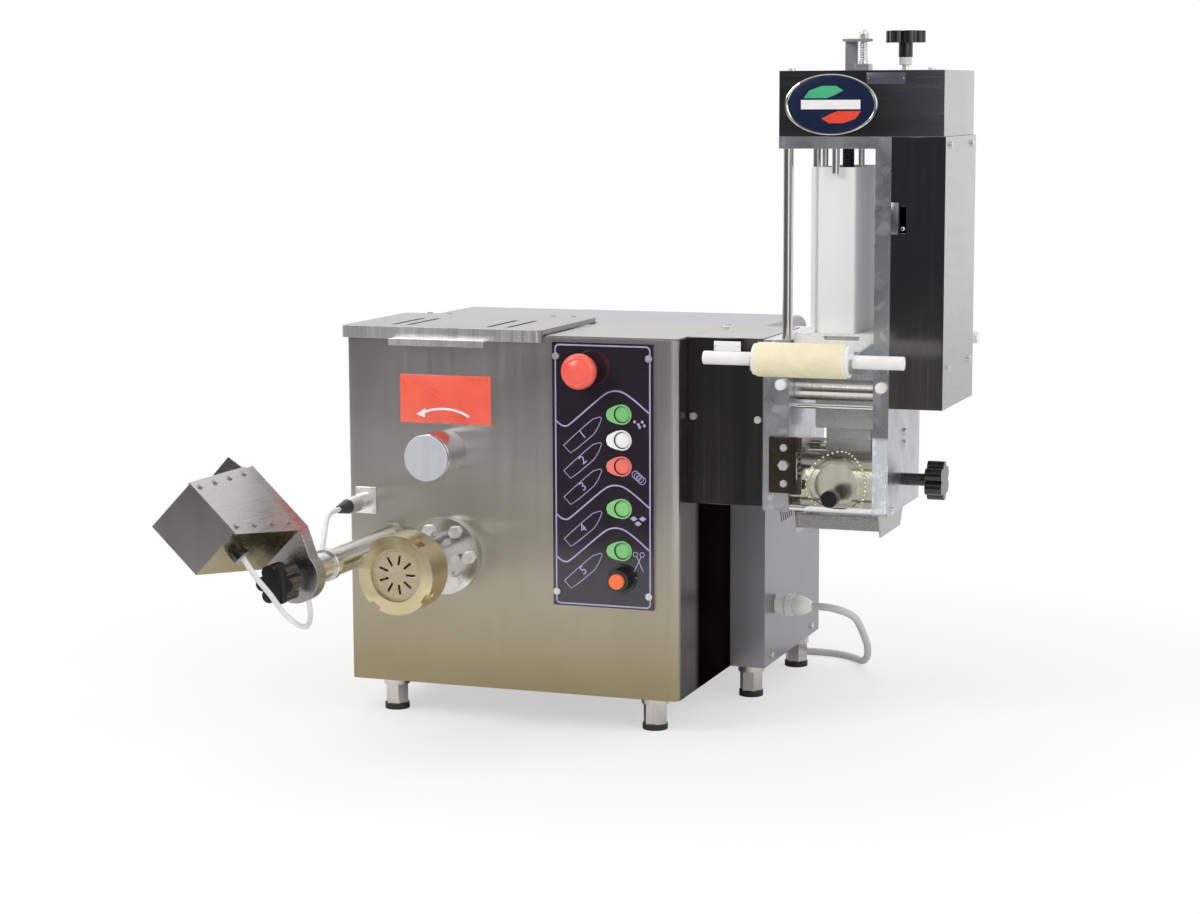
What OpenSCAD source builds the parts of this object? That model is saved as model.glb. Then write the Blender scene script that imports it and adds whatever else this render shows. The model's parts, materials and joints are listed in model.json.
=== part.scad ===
// Combined electric pasta machine: kneader, extruder with cutter, and ravioli unit.
// X runs from the left side of the housing, Y from its front face to the back, Z from the floor.
// in_frame() then moves the whole machine so that its footprint is centred on the origin.

/* [Main housing] */
// Width of the front housing
housing_w = 402; // [396:1:410]
// Depth of the front housing
housing_d = 200; // [196:1:204]
// Height of the housing top above the floor
housing_top = 448; // [447:0.5:449]
// Width of the rear housing
rear_w = 445; // [442:1:450]
// Depth of the rear housing
rear_d = 246; // [240:1:256]
// Depth of the flat part of the rear housing's top
rear_flat = 170; // [150:1:190]
// Height at which the back starts to slope
rear_slope_z = 300; // [280:1:320]
// Thickness of the stainless sheet
sheet_t = 1.5; // [1.2:0.1:1.8]
// Radius of the front right bend
front_bend_r = 10; // [6:0.5:12]
// Radius of the front left bend
left_bend_r = 3; // [2.5:0.5:5]
// Radius of the rear housing's top right bend
rear_bend_r = 11; // [6:0.5:14]
// Thickness of the base plate
base_t = 3; // [2:0.5:4]
// Length of a louvre slot in the right side
louvre_len = 44; // [30:1:50]

/* [Feet] */
// Height of the underside of the housing above the floor
foot_h = 40; // [38:0.5:42]
// Radius of the foot's steel collar
foot_collar_r = 15.5; // [13:0.5:17]
// Height of the foot's steel collar
foot_collar_h = 10; // [8:0.5:12]
// Radius across the corners of the foot's hexagon
foot_hex_r = 14; // [12:0.5:15]
// Height of the rubber pad
foot_pad_h = 7; // [5:0.5:9]
// Radius of the rubber pad
foot_pad_r = 14.5; // [12:0.5:16]
// Distance of the feet from the sides of the housing
foot_inset = 42; // [38:1:46]

/* [Lid and covers] */
// Overhang of the lid past the left side
lid_over_x = 3; // [2.5:0.5:6]
// Overhang of the lid past the front
lid_over_y = 8; // [6:0.5:10]
// Width of the lid
lid_w = 246; // [242:1:249]
// Depth of the lid
lid_d = 180; // [176:1:181]
// Height of the lid's folded edge
lid_pan_h = 14; // [12:0.5:16]
// Height of the lid's top above the housing top
lid_rise = 8; // [7.5:0.5:10]
// Gap between lid and fixed cover
lid_gap = 3; // [2:0.5:4]
// Thickness of the fixed top cover
cover_t = 2; // [1.5:0.5:2.5]
// Width of the finger lip
lip_w = 116; // [100:1:130]
// How far the finger lip stands forward
lip_d = 15; // [10:0.5:18]
// Length of a slot in the lid
lid_slot_len = 90; // [70:1:100]
// Width of a slot in the lid
lid_slot_w = 6; // [4:0.5:8]
// Radius of the lid's hinge knuckles
knuckle_r = 2.7; // [2.4:0.1:3]
// Radius of the lid's hinge pins
hinge_pin_r = 1.5; // [1.2:0.1:1.7]

/* [Control panel] */
// Left edge of the panel
panel_x = 254; // [250:1:258]
// Bottom edge of the panel
panel_z = 143.5; // [138:0.5:146]
// Width of the panel
panel_w = 120; // [116:1:124]
// Height of the panel
panel_h = 300; // [294:1:302]
// Thickness of the panel
panel_t = 3; // [2:0.5:4]
// Distance of the push-buttons from the panel's left edge
button_x = 83; // [79:1:86]
// Radius of a push-button cap
button_r = 9.25; // [8.5:0.25:9.5]
// How far a push-button's face lies behind the face of the panel
button_sink = 1.8; // [1:0.1:2.5]
// Travel of a push-button
button_travel = 3.5; // [2:0.25:4]
// Radius of a push-button's stem
button_stem_r = 7; // [5:0.5:7.5]
// Radius of a push-button's barrel
button_barrel_r = 10.75; // [10.25:0.25:12]
// Height of the mixer button above the panel's bottom edge
mixer_button_h = 220.5; // [219:0.5:223]
// Height of the stop button
stop_button_h = 191.5; // [190:0.5:193]
// Height of the extruder button
extruder_button_h = 162; // [160:1:164]
// Height of the ravioli button
ravioli_button_h = 114; // [110:1:120]
// Height of the cutter button
cutter_button_h = 66; // [64:0.5:72]
// Height of the speed knob
speed_knob_h = 34.5; // [30:0.5:36]
// Radius of the speed knob's skirt
speed_skirt_r = 16.5; // [14:0.5:17]
// Radius of the speed knob's ribbed grip
speed_grip_r = 12; // [10:0.5:13]
// How far the speed knob stands out
speed_out = 22; // [18:0.5:25]
// Distance of the emergency stop from the panel's left edge
estop_x = 40; // [36:1:44]
// Height of the emergency stop
estop_h = 269.5; // [266:0.5:272]
// Radius of the emergency stop's head
estop_r = 20; // [18:0.5:21]
// How far the emergency stop stands out of the panel
estop_out = 30; // [26:0.5:32]
// Travel of the emergency stop
estop_travel = 4; // [3:0.25:5]

/* [Mixer] */
// Distance of the mixer and extruder axes from the left side
drive_x = 121; // [118:1:124]
// Height of the mixer axis
mixer_z = 312.5; // [310:0.5:315]
// Inner radius of the tank's round bottom
tank_r = 68; // [64:0.5:69]
// Thickness of the tank's sheet
tank_t = 2.5; // [2:0.25:3]
// Inner width of the tank's mouth
tank_mouth_w = 201; // [190:1:206]
// Front and back of the tank
tank_front = 4; // [3:0.5:6]
// Back face of the tank
tank_back = 158; // [154:0.5:159]
// Radius of the paddle shaft
paddle_shaft_r = 9; // [7:0.5:10]
// Radius that the paddle arms sweep
paddle_r = 61; // [54:0.5:62]
// Radius of the mixer knob
mixer_knob_r = 26.5; // [24:0.5:28]
// How far the mixer knob stands out
mixer_knob_out = 56; // [50:0.5:60]
// Radius of the tank's front boss
boss_r = 14; // [13:0.5:15]

/* [Extruder] */
// Height of the extruder axis
extruder_z = 193.5; // [191:0.5:196]
// Bore radius of the barrel
barrel_bore_r = 21; // [20:0.25:22]
// Outer radius of the barrel inside the housing
barrel_r = 26; // [25:0.5:27]
// Radius of the barrel's flange
flange_r = 44.75; // [43:0.25:46]
// Thickness of the flange
flange_t = 12; // [10:0.5:14]
// Radius of the neck in front of the flange
neck_r = 25; // [24:0.5:25.5]
// Radius of the barrel's threaded head
head_r = 37.5; // [36:0.5:38.5]
// Length of the threaded head
head_len = 37; // [34:0.5:38]
// Distance of the head's front end from the housing
head_front = 137; // [134:0.5:139]
// Radius of the ring nut
nut_r = 44.5; // [43:0.5:46]
// Thickness of the ring nut's front wall
nut_wall = 3.7; // [3:0.1:4.5]
// Radius of the opening in the ring nut
nut_opening_r = 30; // [28:0.5:31]
// Radius of the die
die_r = 33; // [32:0.5:34]
// Thickness of the die
die_t = 12; // [10:0.5:12]
// Radius of the bolt circle
bolt_circle_r = 33; // [32:0.25:34]
// Lead of the auger's flight
auger_lead = 45; // [40:1:55]

/* [Cutter] */
// Distance of the arm rod's axis from the left side
pivot_x = 52.5; // [51:0.5:54]
// Height of the arm rod's axis
pivot_z = 207; // [205:0.5:209]
// Radius of the arm rod
rod_r = 15.5; // [14:0.25:16]
// Radius of the rod's end that carries the arm
spigot_r = 11; // [9:0.5:12]
// Front face of the arm plate, forward of the housing
arm_front = 254; // [250:1:258]
// Thickness of the arm plate
arm_t = 20; // [16:0.5:22]
// Radius of the arm plate's round end
arm_end_r = 28.5; // [26:0.5:30]
// Angle of the parked arm above the horizontal, leaning left
box_tilt = 136; // [132:0.5:140]
// Width of the motor box
box_w = 65; // [60:1:70]
// Length of the motor box's front face
box_front_len = 69.5; // [66:0.5:72]
// Length of the motor box at the arm plate
box_back_len = 90; // [86:0.5:92]
// Depth of the motor box
box_d = 121; // [115:1:125]
// Distance of the motor box's far side from the pivot
box_far = 121; // [119:1:123]
// Length of one knife wing
knife_len = 45; // [40:0.5:46]
// How far the rod slides into the housing
rod_travel = 70; // [60:1:72]
// Radius of the clamp knob's lobes
lobed_r = 22; // [19:0.5:23]

/* [Ravioli unit] */
// Left face of the unit's left side plate
unit_x = 490; // [488:1:491]
// Front face of the side plates
unit_y = 34; // [30:1:36]
// Depth of the side plates
unit_d = 152; // [150:1:154]
// Thickness of the left side plate
left_plate_t = 29.5; // [28:0.5:30]
// Inner width between the side plates
roller_w = 95; // [94:0.5:98]
// Thickness of the right side plate
right_plate_t = 17.5; // [16:0.5:19]
// Bottom of the side plates
unit_bottom = 258; // [256:0.5:260]
// Top of the left side plate
left_plate_top = 449; // [448:0.5:450]
// Underside of the top plate
top_plate_z = 658.5; // [650:0.5:662]
// Thickness of the top plate
top_plate_t = 13; // [11:0.5:15]
// Height of the head cover
head_cover_h = 71; // [66:0.5:75]
// Width of the gear cover
gear_cover_w = 59.5; // [56:0.5:62]
// Bottom of the gear cover
gear_cover_z = 377; // [374:0.5:380]
// Height of the link box's underside
link_z = 262; // [260:0.5:264]
// Height of the link box's top
link_top = 450; // [449:0.5:452]

/* [Rollers and hopper] */
// Radius of the mould rollers
mould_r = 34.8; // [33:0.1:35]
// Height of the raised edge round each mould
mould_edge = 1.2; // [0.8:0.1:1.3]
// Height of the mould rollers' axes
mould_z = 289; // [286:0.5:292]
// Number of teeth on each mould roller's gear
gear_teeth = 36; // [30:1:40]
// Radius of the feed rollers
feed_r = 12; // [10:0.5:13]
// Height of the feed rollers' axes
feed_z = 392; // [388:0.5:394]
// Radius of a mandrel's rod
mandrel_r = 7.3; // [6:0.1:8]
// Radius of a mandrel's sleeve
sleeve_r = 18.5; // [16:0.5:20]
// Length of a mandrel's rod
mandrel_len = 221; // [210:1:230]
// Distance of the mandrels from the side plates
mandrel_reach = 84; // [78:1:86]
// Height of the front mandrel
mandrel_z = 436; // [434:0.5:438]
// Width of the hopper
hopper_w = 42.5; // [40:0.5:44]
// Depth of the hopper
hopper_d = 100; // [95:1:104]
// Height of the hopper
hopper_h = 181.5; // [175:0.5:183]
// Bottom of the hopper
hopper_z = 457; // [455:0.5:460]
// Radius of the lead screw
screw_r = 6.5; // [5:0.5:7]
// Travel of the filling plunger
plunger_travel = 140; // [120:1:145]

/* [Guard] */
// Thickness of the clear guard
guard_t = 3; // [2.5:0.25:3.5]
// Width of the clear guard
guard_w = 98; // [96:0.5:99]
// Height of the clear guard
guard_h = 82; // [78:0.5:84]
// Bottom of the clear guard
guard_z = 261; // [259:0.5:262]

/* [Cables] */
// Diameter of the mains cord
cord_d = 9; // [8:0.5:10]
// Diameter of the cutter's cable
cable_d = 6; // [5:0.5:7]

/* [Hidden] */
$fn = 48;

// Clearances: a running fit on the radius, the gap between moving faces, and a cut's overshoot
fit = 0.05;
gap = 0.3;
eps = 1;

// The footprint's centre in machine coordinates
origin_x = 323;
origin_y = 35;

// Housing
rear_y = housing_d;
back_y = housing_d + rear_d;
inner_floor_z = foot_h + base_t;
stud_r = 6;
stud_h = 14;
foot_hex_h = foot_h - foot_collar_h - foot_pad_h;
front_foot_y = 32;
back_foot_y = back_y - 41;
right_foot_in = 38;
step_foot_x = rear_w - 25;
step_foot_y = rear_y + 28;
feet_at = [[foot_inset, front_foot_y], [housing_w - right_foot_in, front_foot_y],
    [foot_inset, back_foot_y], [rear_w - foot_collar_r - 2.5, back_foot_y], [step_foot_x, step_foot_y]];
louvre_count = 7;
louvre_pitch = 9;
louvre_w = 3.5;
louvre_y = rear_y + 62;
louvre_z = 225;
louvre_lean = 28;

// Lid
lid_x = -lid_over_x;
lid_y = -lid_over_y;
lid_top = housing_top + lid_rise;
lid_bottom = lid_top - lid_pan_h;
lid_right = lid_x + lid_w;
lid_back = lid_y + lid_d;
lid_left_r = 2;
lid_front_r = 8;
cover_x = lid_right + lid_gap;
cover_top = housing_top + cover_t;
hinge_y = lid_back + 5;
hinge_z = cover_top + gap + knuckle_r;
lip_x = 62;
lip_drop = 6;
slot_x = [47, 66, 165, 189];
slot_y = 18;
knuckle_at = [30, 190];
knuckle_len = 20;
ear_t = 5;
ear_r = hinge_y - lid_back - 1;

// Control panel
button_x_abs = panel_x + button_x;
button_head = 6;
button_gap = 0.35;
barrel_len = 20;
contact_w = 26;
contact_d = 30;
estop_stem_r = 10;
estop_head_h = 13;
estop_ring_r = 15;
estop_ring_h = 6;
speed_shaft_r = 3;
speed_bush_r = 5;
speed_skirt_h = 3;
speed_cap_r = 8.5;
speed_cap_h = 5;
speed_ribs = 24;
rib_half = 0.6;
rib_out = 0.8;
estop_edge_r = 5;

// Plates on the front: left edge, lower edge, width and height
warning_plate = [66, 345, 112.5, 56];
rating_plate = [433, 435, 31, 11];
model_plate = [604, 727.5, 43, 12.5];
plate_t = 1;
badge_r = [52, 33];
badge_t = 3;
badge_sides = 48;

// Mixer and extruder
mixer_boss_len = 20;
tank_flange_t = 1.5;
tank_flange_z = housing_top - tank_flange_t;
drop_w = 30;
drop_y = 65;
chute_t = 2;
wheel_y = tank_back + 5;
wheel_w = 8;
auger_wheel_r = 20;
mixer_wheel_r = 40;
chain_t = 6;
neck_back = head_front - head_len;
die_front = head_front + 2;
nut_front = die_front + gap + nut_wall;
auger_shaft_r = 8;
auger_journal_r = 10;
barrel_back = tank_back;
barrel_end_wall = 8;
auger_front = head_front - die_t - gap;
auger_flight_r = barrel_bore_r - 0.5;
flight_steps = 14;
reducer_y = tank_back + 20;
reducer_d = 122;
reducer_x = drive_x - 55;
reducer_w = 110;
reducer_z = 140;
reducer_h = 107;
motor_r = 62;
motor_len = 224;
motor_y = reducer_y + reducer_d / 2;
auger_back = reducer_y + 12;
reducer_socket = 14;
stand_t = 4;
cradle_x = 300;
cradle_in = 10;
roller_motor_r = 34;
roller_motor_len = 126;
roller_flange_t = 14;
roller_flange_half = 42;
roller_socket = 30;
roller_shaft_in = 26;

// Cutter; its arm frame has its origin at the pivot, X toward the box, Z across it
die_dx = drive_x - pivot_x;
die_dz = extruder_z - pivot_z;
die_reach = sqrt(die_dx * die_dx + die_dz * die_dz);
swing_offset = 7;
motor_u = die_reach * cos(swing_offset);
motor_v = -die_reach * sin(swing_offset);
box_v0 = -44;
box_wall = 1.5;
box_back_y = -arm_front;
box_front_y = box_back_y - box_d;
rod_inner = 50;
bushing_r = 20;
bushing_len = 60;
collar_len = 8;
clip_y = -175;
clip_half = 4;
clip_r = 18;
clip_reach = 31;
clip_angle = 129;
clip_w = 12;
knife_gap = 14;
knife_t = 2;
knife_w = 16;
knife_shaft_r = 4;
knife_hub_r = 9;
knife_y = -arm_front + arm_t + knife_gap;
cutter_motor_r = 22;
cutter_motor_len = 76;
knob_stud_r = 5;
knob_stem_r = 13;
knob_stem_len = 18;
knob_head_h = 28;
gland_r = 8;
cutter_gland_r = 9.5;
cutter_gland_len = 9;
cutter_gland_y = -338;
cutter_gland_v = -13;
connector_x = 21;
connector_z = 252;
connector_r = 9.5;
connector_len = 75;
connector_flange_w = 26;
connector_flange_h = 31;

// Ravioli unit
unit_back = unit_y + unit_d;
unit_mid = unit_y + unit_d / 2;
roller_x = unit_x + left_plate_t;
right_x = roller_x + roller_w;
cover_side_x = right_x + right_plate_t;
unit_right = cover_side_x + gear_cover_w;
head_z = top_plate_z + top_plate_t;
head_top = head_z + head_cover_h;
top_plate_x = unit_x + 16.5;
badge_x = top_plate_x + 58.5;
link_y = unit_y;
journal_r = 8;
journal_in = 14;
mould_edge_r = mould_r + mould_edge;
axis_half = mould_edge_r + gap;
front_mould_y = unit_mid - axis_half;
rear_mould_y = unit_mid + axis_half;
gear_w = 10;
gear_module = 2 * axis_half / gear_teeth;
gear_tip_r = axis_half + 0.9 * gear_module;
gear_root_r = axis_half - 1.2 * gear_module;
tooth_tip_share = 0.13;
tooth_root_share = 0.36;
mould_count = 2;
mould_ring_r = 33;
mould_ring_t = 3;
ring_root = 8;
mould_pocket_r = 24;
mould_pocket_d = 8;
feed_shaft_r = 5;
feed_front_y = unit_y + 32;
feed_rear_y = unit_back - 32;
mandrel_front_y = unit_y - mandrel_reach;
mandrel_rear_y = unit_back + mandrel_reach;
mandrel_x = roller_x + roller_w / 2 - mandrel_len / 2 - 9;
rear_mandrel_shift = 13;
sleeve_x = roller_x - 11;
sleeve_len = 98;
collar_t = 4;
collar_r = 17;
fork_t = 2;
fork_gap = 1;
fork_tip = 8;
tab_w = 16;
tab_z = 414;
tab_h = 34;
hopper_x = roller_x + roller_w / 2 - hopper_w / 2 + 2.3;
hopper_y = unit_y + 10;
hopper_t = 2;
hopper_r = 4;
hopper_top = hopper_z + hopper_h;
channel_w = 9;
channel_d = 12;
channel_y = hopper_y + 6;
groove_w = 4;
base_block_h = 20;
base_block_in = 2;
neck_w = 74;
neck_d = 22;
neck_z = mould_z + 56;
nozzle_w = 52;
nozzle_d = 8;
nozzle_z = mould_z + 23;
passage_w = 34;
passage_d = 5;
slot_h = 4.5;
screw_x = hopper_x + hopper_w / 2;
screw_y = hopper_y + hopper_d / 2;
plunger_t = 14;
plunger_z = hopper_top - 20;
screw_bottom = hopper_z + gap;
screw_wheel_r = 18;
head_wheel_z = head_z + 8.5;
head_wheel_h = 8;
dosing_x = cover_side_x + gear_cover_w / 2;
dosing_wheel_r = 14;
dosing_motor_r = 26;
dosing_motor_len = 145;
dosing_shaft_r = 5;
shelf_t = 8;
shelf_z = head_z - 25;
shelf_half = 28;
knob_lobes = 6;
top_knob_x = cover_side_x - 1;
top_knob_y = unit_y + 66;
pin_x = 594;
pin_y = unit_y + 26;
pin_r = 3;
pin_half = 8;
pin_plate_t = 3;
pin_block_h = 7;
pin_bracket_h = 34;
pin_bracket_in = 22;
pin_plate_w = 14;
cover_screw_r = 3;
cover_screw_h = 2;
front_post_r = 5.8;
rear_post_r = 5.5;
spacer_r = 3;
lower_bar_r = 3.5;
cheek_t = 2;
cheek_drop = 30;
scraper_bar_h = 6;
scraper_blade_h = 10;
scraper_drop = 8;
hex_head_r = 7.2;
hex_head_h = 5.5;
guard_hinge_x = roller_x + 13.5;
guard_back = unit_y - 6;
guard_hinge_y = guard_back;
guard_knuckle_r = 3;
guard_pin_r = 1.5;
knuckle_h = 16;
grip_r = 9.5;
grip_h = 13;
hinge_plate_t = 3;
hinge_plate_z = 279;
hinge_plate_h = 63;
side_knob_z = mould_z + 0.5;
side_shaft_r = 4;

// Cord routes: round numbers chosen by hand, in machine coordinates
cord_exit = [490, 247.5, 109.5];
cord_route = [cord_exit, [508, 247.5, 109.5], [522, 251, 106], [532, 262, 98], [537, 279, 86],
    [538, 299, 73], [537, 320, 60], [535, 340, 47.5], [531, 360, 35.5], [526, 379, 25], [519, 398, 16],
    [511, 418, 9], [502, 436, 5.5], [489, 452, 4.5], [472, 464, 4.5], [452, 470, 4.5],
    [425, 471, 4.5], [396, 471, 4.5], [368, 471, 4.5], [340, 471, 4.5]];
tail_route = [[340, 471, 13.5], [320, 471, 12.5], [301, 471, 10], [282, 471, 8], [262, 471, 8]];
coil_centre = [340, 525];
coil_mid_r = 49.5;
plug_at = [262, 471, 8];
plug_relief_len = 17;
plug_body = [40, 28, 16];
plug_pin_len = 19;
plug_pin_r = 2.4;
plug_pin_pitch = 9.5;
rear_cable_route = [[21, -75, 252], [21, -92, 252], [21.2, -100, 250.7], [22, -107, 247],
    [23, -113, 242], [25, -122, 230], [27, -131, 218], [29, -140.5, 205.5], [31, -149.5, 193.5],
    [32, -156, 188], [32.8, -162, 184.5], [33, -166, 183], [33, -171, 183]];
front_cable_route = [[33, -179, 183], [33, -183, 183], [34.5, -188, 181], [38.5, -194, 176],
    [44.5, -202, 168], [50.5, -212, 160], [55, -223, 154], [58.5, -237, 151], [60.5, -251, 153],
    [61.5, -267, 159], [61.5, -282, 167.5], [60.5, -296, 177], [58.5, -305, 187], [55, -312.5, 198],
    [50.5, -320, 208.5], [46.5, -327, 218], [43.5, -332.5, 226.5], [41, -336, 233],
    [38.4, -338, 238.7], [35.5, -338, 241.5]];

// Placing helpers
module in_frame() { translate([-origin_x, -origin_y, 0]) children(); }
module slab(lo, hi) { translate(lo) cube(hi - lo); }
module bar_x(x0, x1, y, z, r) { translate([x0, y, z]) rotate([0, 90, 0]) cylinder(r = r, h = x1 - x0); }
module bar_y(x, z, y0, y1, r) { translate([x, y0, z]) rotate([-90, 0, 0]) cylinder(r = r, h = y1 - y0); }
module bar_z(x, y, z0, z1, r) { translate([x, y, z0]) cylinder(r = r, h = z1 - z0); }
// Extrudes an outline drawn in X and Z from y0 to y1
module extrude_y(y0, y1) { translate([0, y1, 0]) rotate([90, 0, 0]) linear_extrude(y1 - y0) children(); }
// Extrudes an outline drawn in Y and Z from x0 to x1
module extrude_x(x0, x1) {
    translate([x0, 0, 0]) rotate([90, 0, 90]) linear_extrude(x1 - x0) children();
}
module arm_frame() { translate([pivot_x, 0, pivot_z]) rotate([0, -box_tilt, 0]) children(); }

// A rectangle with its two front corners rounded
module corner_plan(w, d, r_left, r_right) {
    translate([r_left, 0]) square([w - r_left - r_right, d]);
    translate([0, r_left]) square([r_left, d - r_left]);
    translate([w - r_right, r_right]) square([r_right, d - r_right]);
    translate([r_left, r_left]) circle(r_left);
    translate([w - r_right, r_right]) circle(r_right);
}

// A rectangle with all four corners rounded
module round_plan(w, d, r) {
    translate([r, 0]) square([w - 2 * r, d]);
    translate([0, r]) square([w, d - 2 * r]);
    for (x = [r, w - r], y = [r, d - r]) translate([x, y]) circle(r);
}

// The star grip used on every clamp knob
module lobed_head(r, h) {
    lobe_r = r * 0.36;
    linear_extrude(h) {
        circle(r - lobe_r);
        for (i = [0:knob_lobes - 1]) rotate(i * 360 / knob_lobes) translate([r - lobe_r, 0]) circle(lobe_r);
    }
}

// A cord swept through a route, with its rings carried along without twist
function unit(v) = v / norm(v);
function tangent(p, i) = unit(i == 0 ? p[1] - p[0]
    : i == len(p) - 1 ? p[i] - p[i - 1] : unit(p[i] - p[i - 1]) + unit(p[i + 1] - p[i]));
function across(n, t) = unit(n - (n * t) * t);
function normals(p) = [for (i = 0, n = across([0, 0.3, 1], tangent(p, 0)); i < len(p);
    i = i + 1, n = i < len(p) ? across(n, tangent(p, i)) : n) n];
function ring(c, n, b, r, sides) = [for (k = [0:sides - 1])
    c + r * (cos(k * 360 / sides) * n + sin(k * 360 / sides) * b)];

module cord_tube(p, r, sides) {
    n = normals(p);
    points = [for (i = [0:len(p) - 1]) each ring(p[i], n[i], cross(tangent(p, i), n[i]), r, sides)];
    last = (len(p) - 1) * sides;
    faces = concat(
        [[for (k = [0:sides - 1]) k]],
        [[for (k = [sides - 1:-1:0]) last + k]],
        [for (i = [0:len(p) - 2], k = [0:sides - 1])
            [i * sides + k, (i + 1) * sides + k, (i + 1) * sides + (k + 1) % sides]],
        [for (i = [0:len(p) - 2], k = [0:sides - 1])
            [i * sides + k, (i + 1) * sides + (k + 1) % sides, i * sides + (k + 1) % sides]]);
    polyhedron(points, faces);
}

// Casing

module front_housing() color("silver") {
    difference() {
        translate([0, 0, foot_h]) linear_extrude(housing_top - foot_h) difference() {
            corner_plan(housing_w, housing_d, left_bend_r, front_bend_r);
            translate([sheet_t, sheet_t]) corner_plan(housing_w - 2 * sheet_t, housing_d,
                left_bend_r - sheet_t, front_bend_r - sheet_t);
        }
        bar_y(drive_x, mixer_z, -eps, sheet_t + eps, boss_r + 0.5);
        bar_y(drive_x, extruder_z, -eps, sheet_t + eps, barrel_r + gap);
        bar_y(pivot_x, pivot_z, -eps, sheet_t + eps, rod_r + fit);
        bar_y(connector_x, connector_z, -eps, sheet_t + eps, connector_r + gap);
        for (b = button_places()) bar_y(b[0], b[1], -eps, sheet_t + eps, b[2] + fit);
        bar_x(housing_w - sheet_t - eps, housing_w + eps, rear_mould_y, mould_z, journal_r + 1);
    }
    // Bushing and outer collar of the arm rod, welded into the front wall
    difference() {
        union() {
            bar_y(pivot_x, pivot_z, 0, bushing_len, bushing_r);
            bar_y(pivot_x, pivot_z, -collar_len, sheet_t, bushing_r);
        }
        bar_y(pivot_x, pivot_z, -collar_len - eps, bushing_len + eps, rod_r + fit);
    }
}

// The rear housing's side outline, drawn in Y and Z, moved inward by inset
module rear_side_plan(inset, low) {
    flat_y = rear_y + rear_flat;
    run = back_y - flat_y;
    rise = housing_top - rear_slope_z;
    slant = sqrt(run * run + rise * rise);
    y_in = back_y - inset;
    z_in = housing_top - inset;
    reach = rise * back_y + run * rear_slope_z - inset * slant;
    polygon([[rear_y - (inset > 0 ? eps : 0), low], [y_in, low], [y_in, (reach - rise * y_in) / run],
        [(reach - run * z_in) / rise, z_in], [rear_y - (inset > 0 ? eps : 0), z_in]]);
}

// The rear housing's front outline, drawn in X and Z
module rear_front_plan(inset, low) {
    translate([inset, housing_top - inset]) mirror([0, 1])
        corner_plan(rear_w - 2 * inset, housing_top - inset - low, left_bend_r - inset, rear_bend_r - inset);
}

module rear_housing() color("silver") difference() {
    intersection() {
        extrude_x(0, rear_w) rear_side_plan(0, foot_h);
        extrude_y(rear_y, back_y) rear_front_plan(0, foot_h);
    }
    intersection() {
        extrude_x(0, rear_w) rear_side_plan(sheet_t, foot_h - eps);
        extrude_y(rear_y - eps, back_y) rear_front_plan(sheet_t, foot_h - eps);
        union() {
            slab([0, rear_y + sheet_t, 0], [rear_w, back_y, housing_top]);
            slab([0, rear_y - eps, 0], [housing_w - sheet_t, rear_y + 2 * sheet_t, housing_top]);
        }
    }
    bar_x(rear_w - sheet_t - eps, rear_w + eps, cord_exit[1], cord_exit[2], gland_r);
    for (i = [0:louvre_count - 1])
        translate([rear_w - sheet_t - eps, louvre_y + i * louvre_pitch, louvre_z])
            rotate([louvre_lean, 0, 0])
                slab([0, -louvre_w / 2, -louvre_len / 2], [sheet_t + 2 * eps, louvre_w / 2, louvre_len / 2]);
}

module base_plate() color("silver") {
    difference() {
        union() {
            slab([sheet_t, sheet_t + front_bend_r, foot_h],
                [housing_w - sheet_t, rear_y + sheet_t, inner_floor_z]);
            slab([front_bend_r, sheet_t, foot_h],
                [housing_w - front_bend_r, 2 * sheet_t + front_bend_r, inner_floor_z]);
            slab([sheet_t, rear_y + sheet_t, foot_h], [rear_w - sheet_t, back_y - sheet_t, inner_floor_z]);
        }
        for (p = feet_at) bar_z(p[0], p[1], foot_h - eps, inner_floor_z + eps, stud_r + fit);
    }
    // Stand of the reducer and cradle of the motor
    for (y = [reducer_y, reducer_y + reducer_d - stand_t])
        slab([reducer_x, y, foot_h + base_t / 2], [reducer_x + reducer_w, y + stand_t, reducer_z]);
    difference() {
        slab([cradle_x, reducer_y + cradle_in, foot_h + base_t / 2],
            [cradle_x + stand_t, reducer_y + reducer_d - cradle_in, extruder_z - motor_r / 2]);
        bar_x(cradle_x - eps, cradle_x + stand_t + eps, motor_y, extruder_z, motor_r + fit);
    }
}

module levelling_feet() for (p = feet_at) {
    color("silver") {
        bar_z(p[0], p[1], foot_h - foot_collar_h, foot_h, foot_collar_r);
        translate([p[0], p[1], foot_pad_h]) cylinder(r = foot_hex_r, h = foot_hex_h, $fn = 6);
        bar_z(p[0], p[1], foot_h, foot_h + stud_h, stud_r);
    }
    color("#222222") bar_z(p[0], p[1], 0, foot_pad_h, foot_pad_r);
}

module top_cover() color("silver") {
    slab([cover_x, 0, housing_top], [housing_w, rear_y, cover_top]);
    slab([0, hinge_y - 4, housing_top], [cover_x, rear_y, cover_top]);
    for (x = knuckle_at, side = [-ear_t - gap, knuckle_len + gap]) difference() {
        union() {
            slab([x + side, hinge_y - ear_r, housing_top + cover_t / 2],
                [x + side + ear_t, hinge_y + ear_r, hinge_z]);
            bar_x(x + side, x + side + ear_t, hinge_y, hinge_z, ear_r);
        }
        bar_x(x + side - eps, x + side + ear_t + eps, hinge_y, hinge_z, hinge_pin_r + fit);
    }
}

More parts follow.
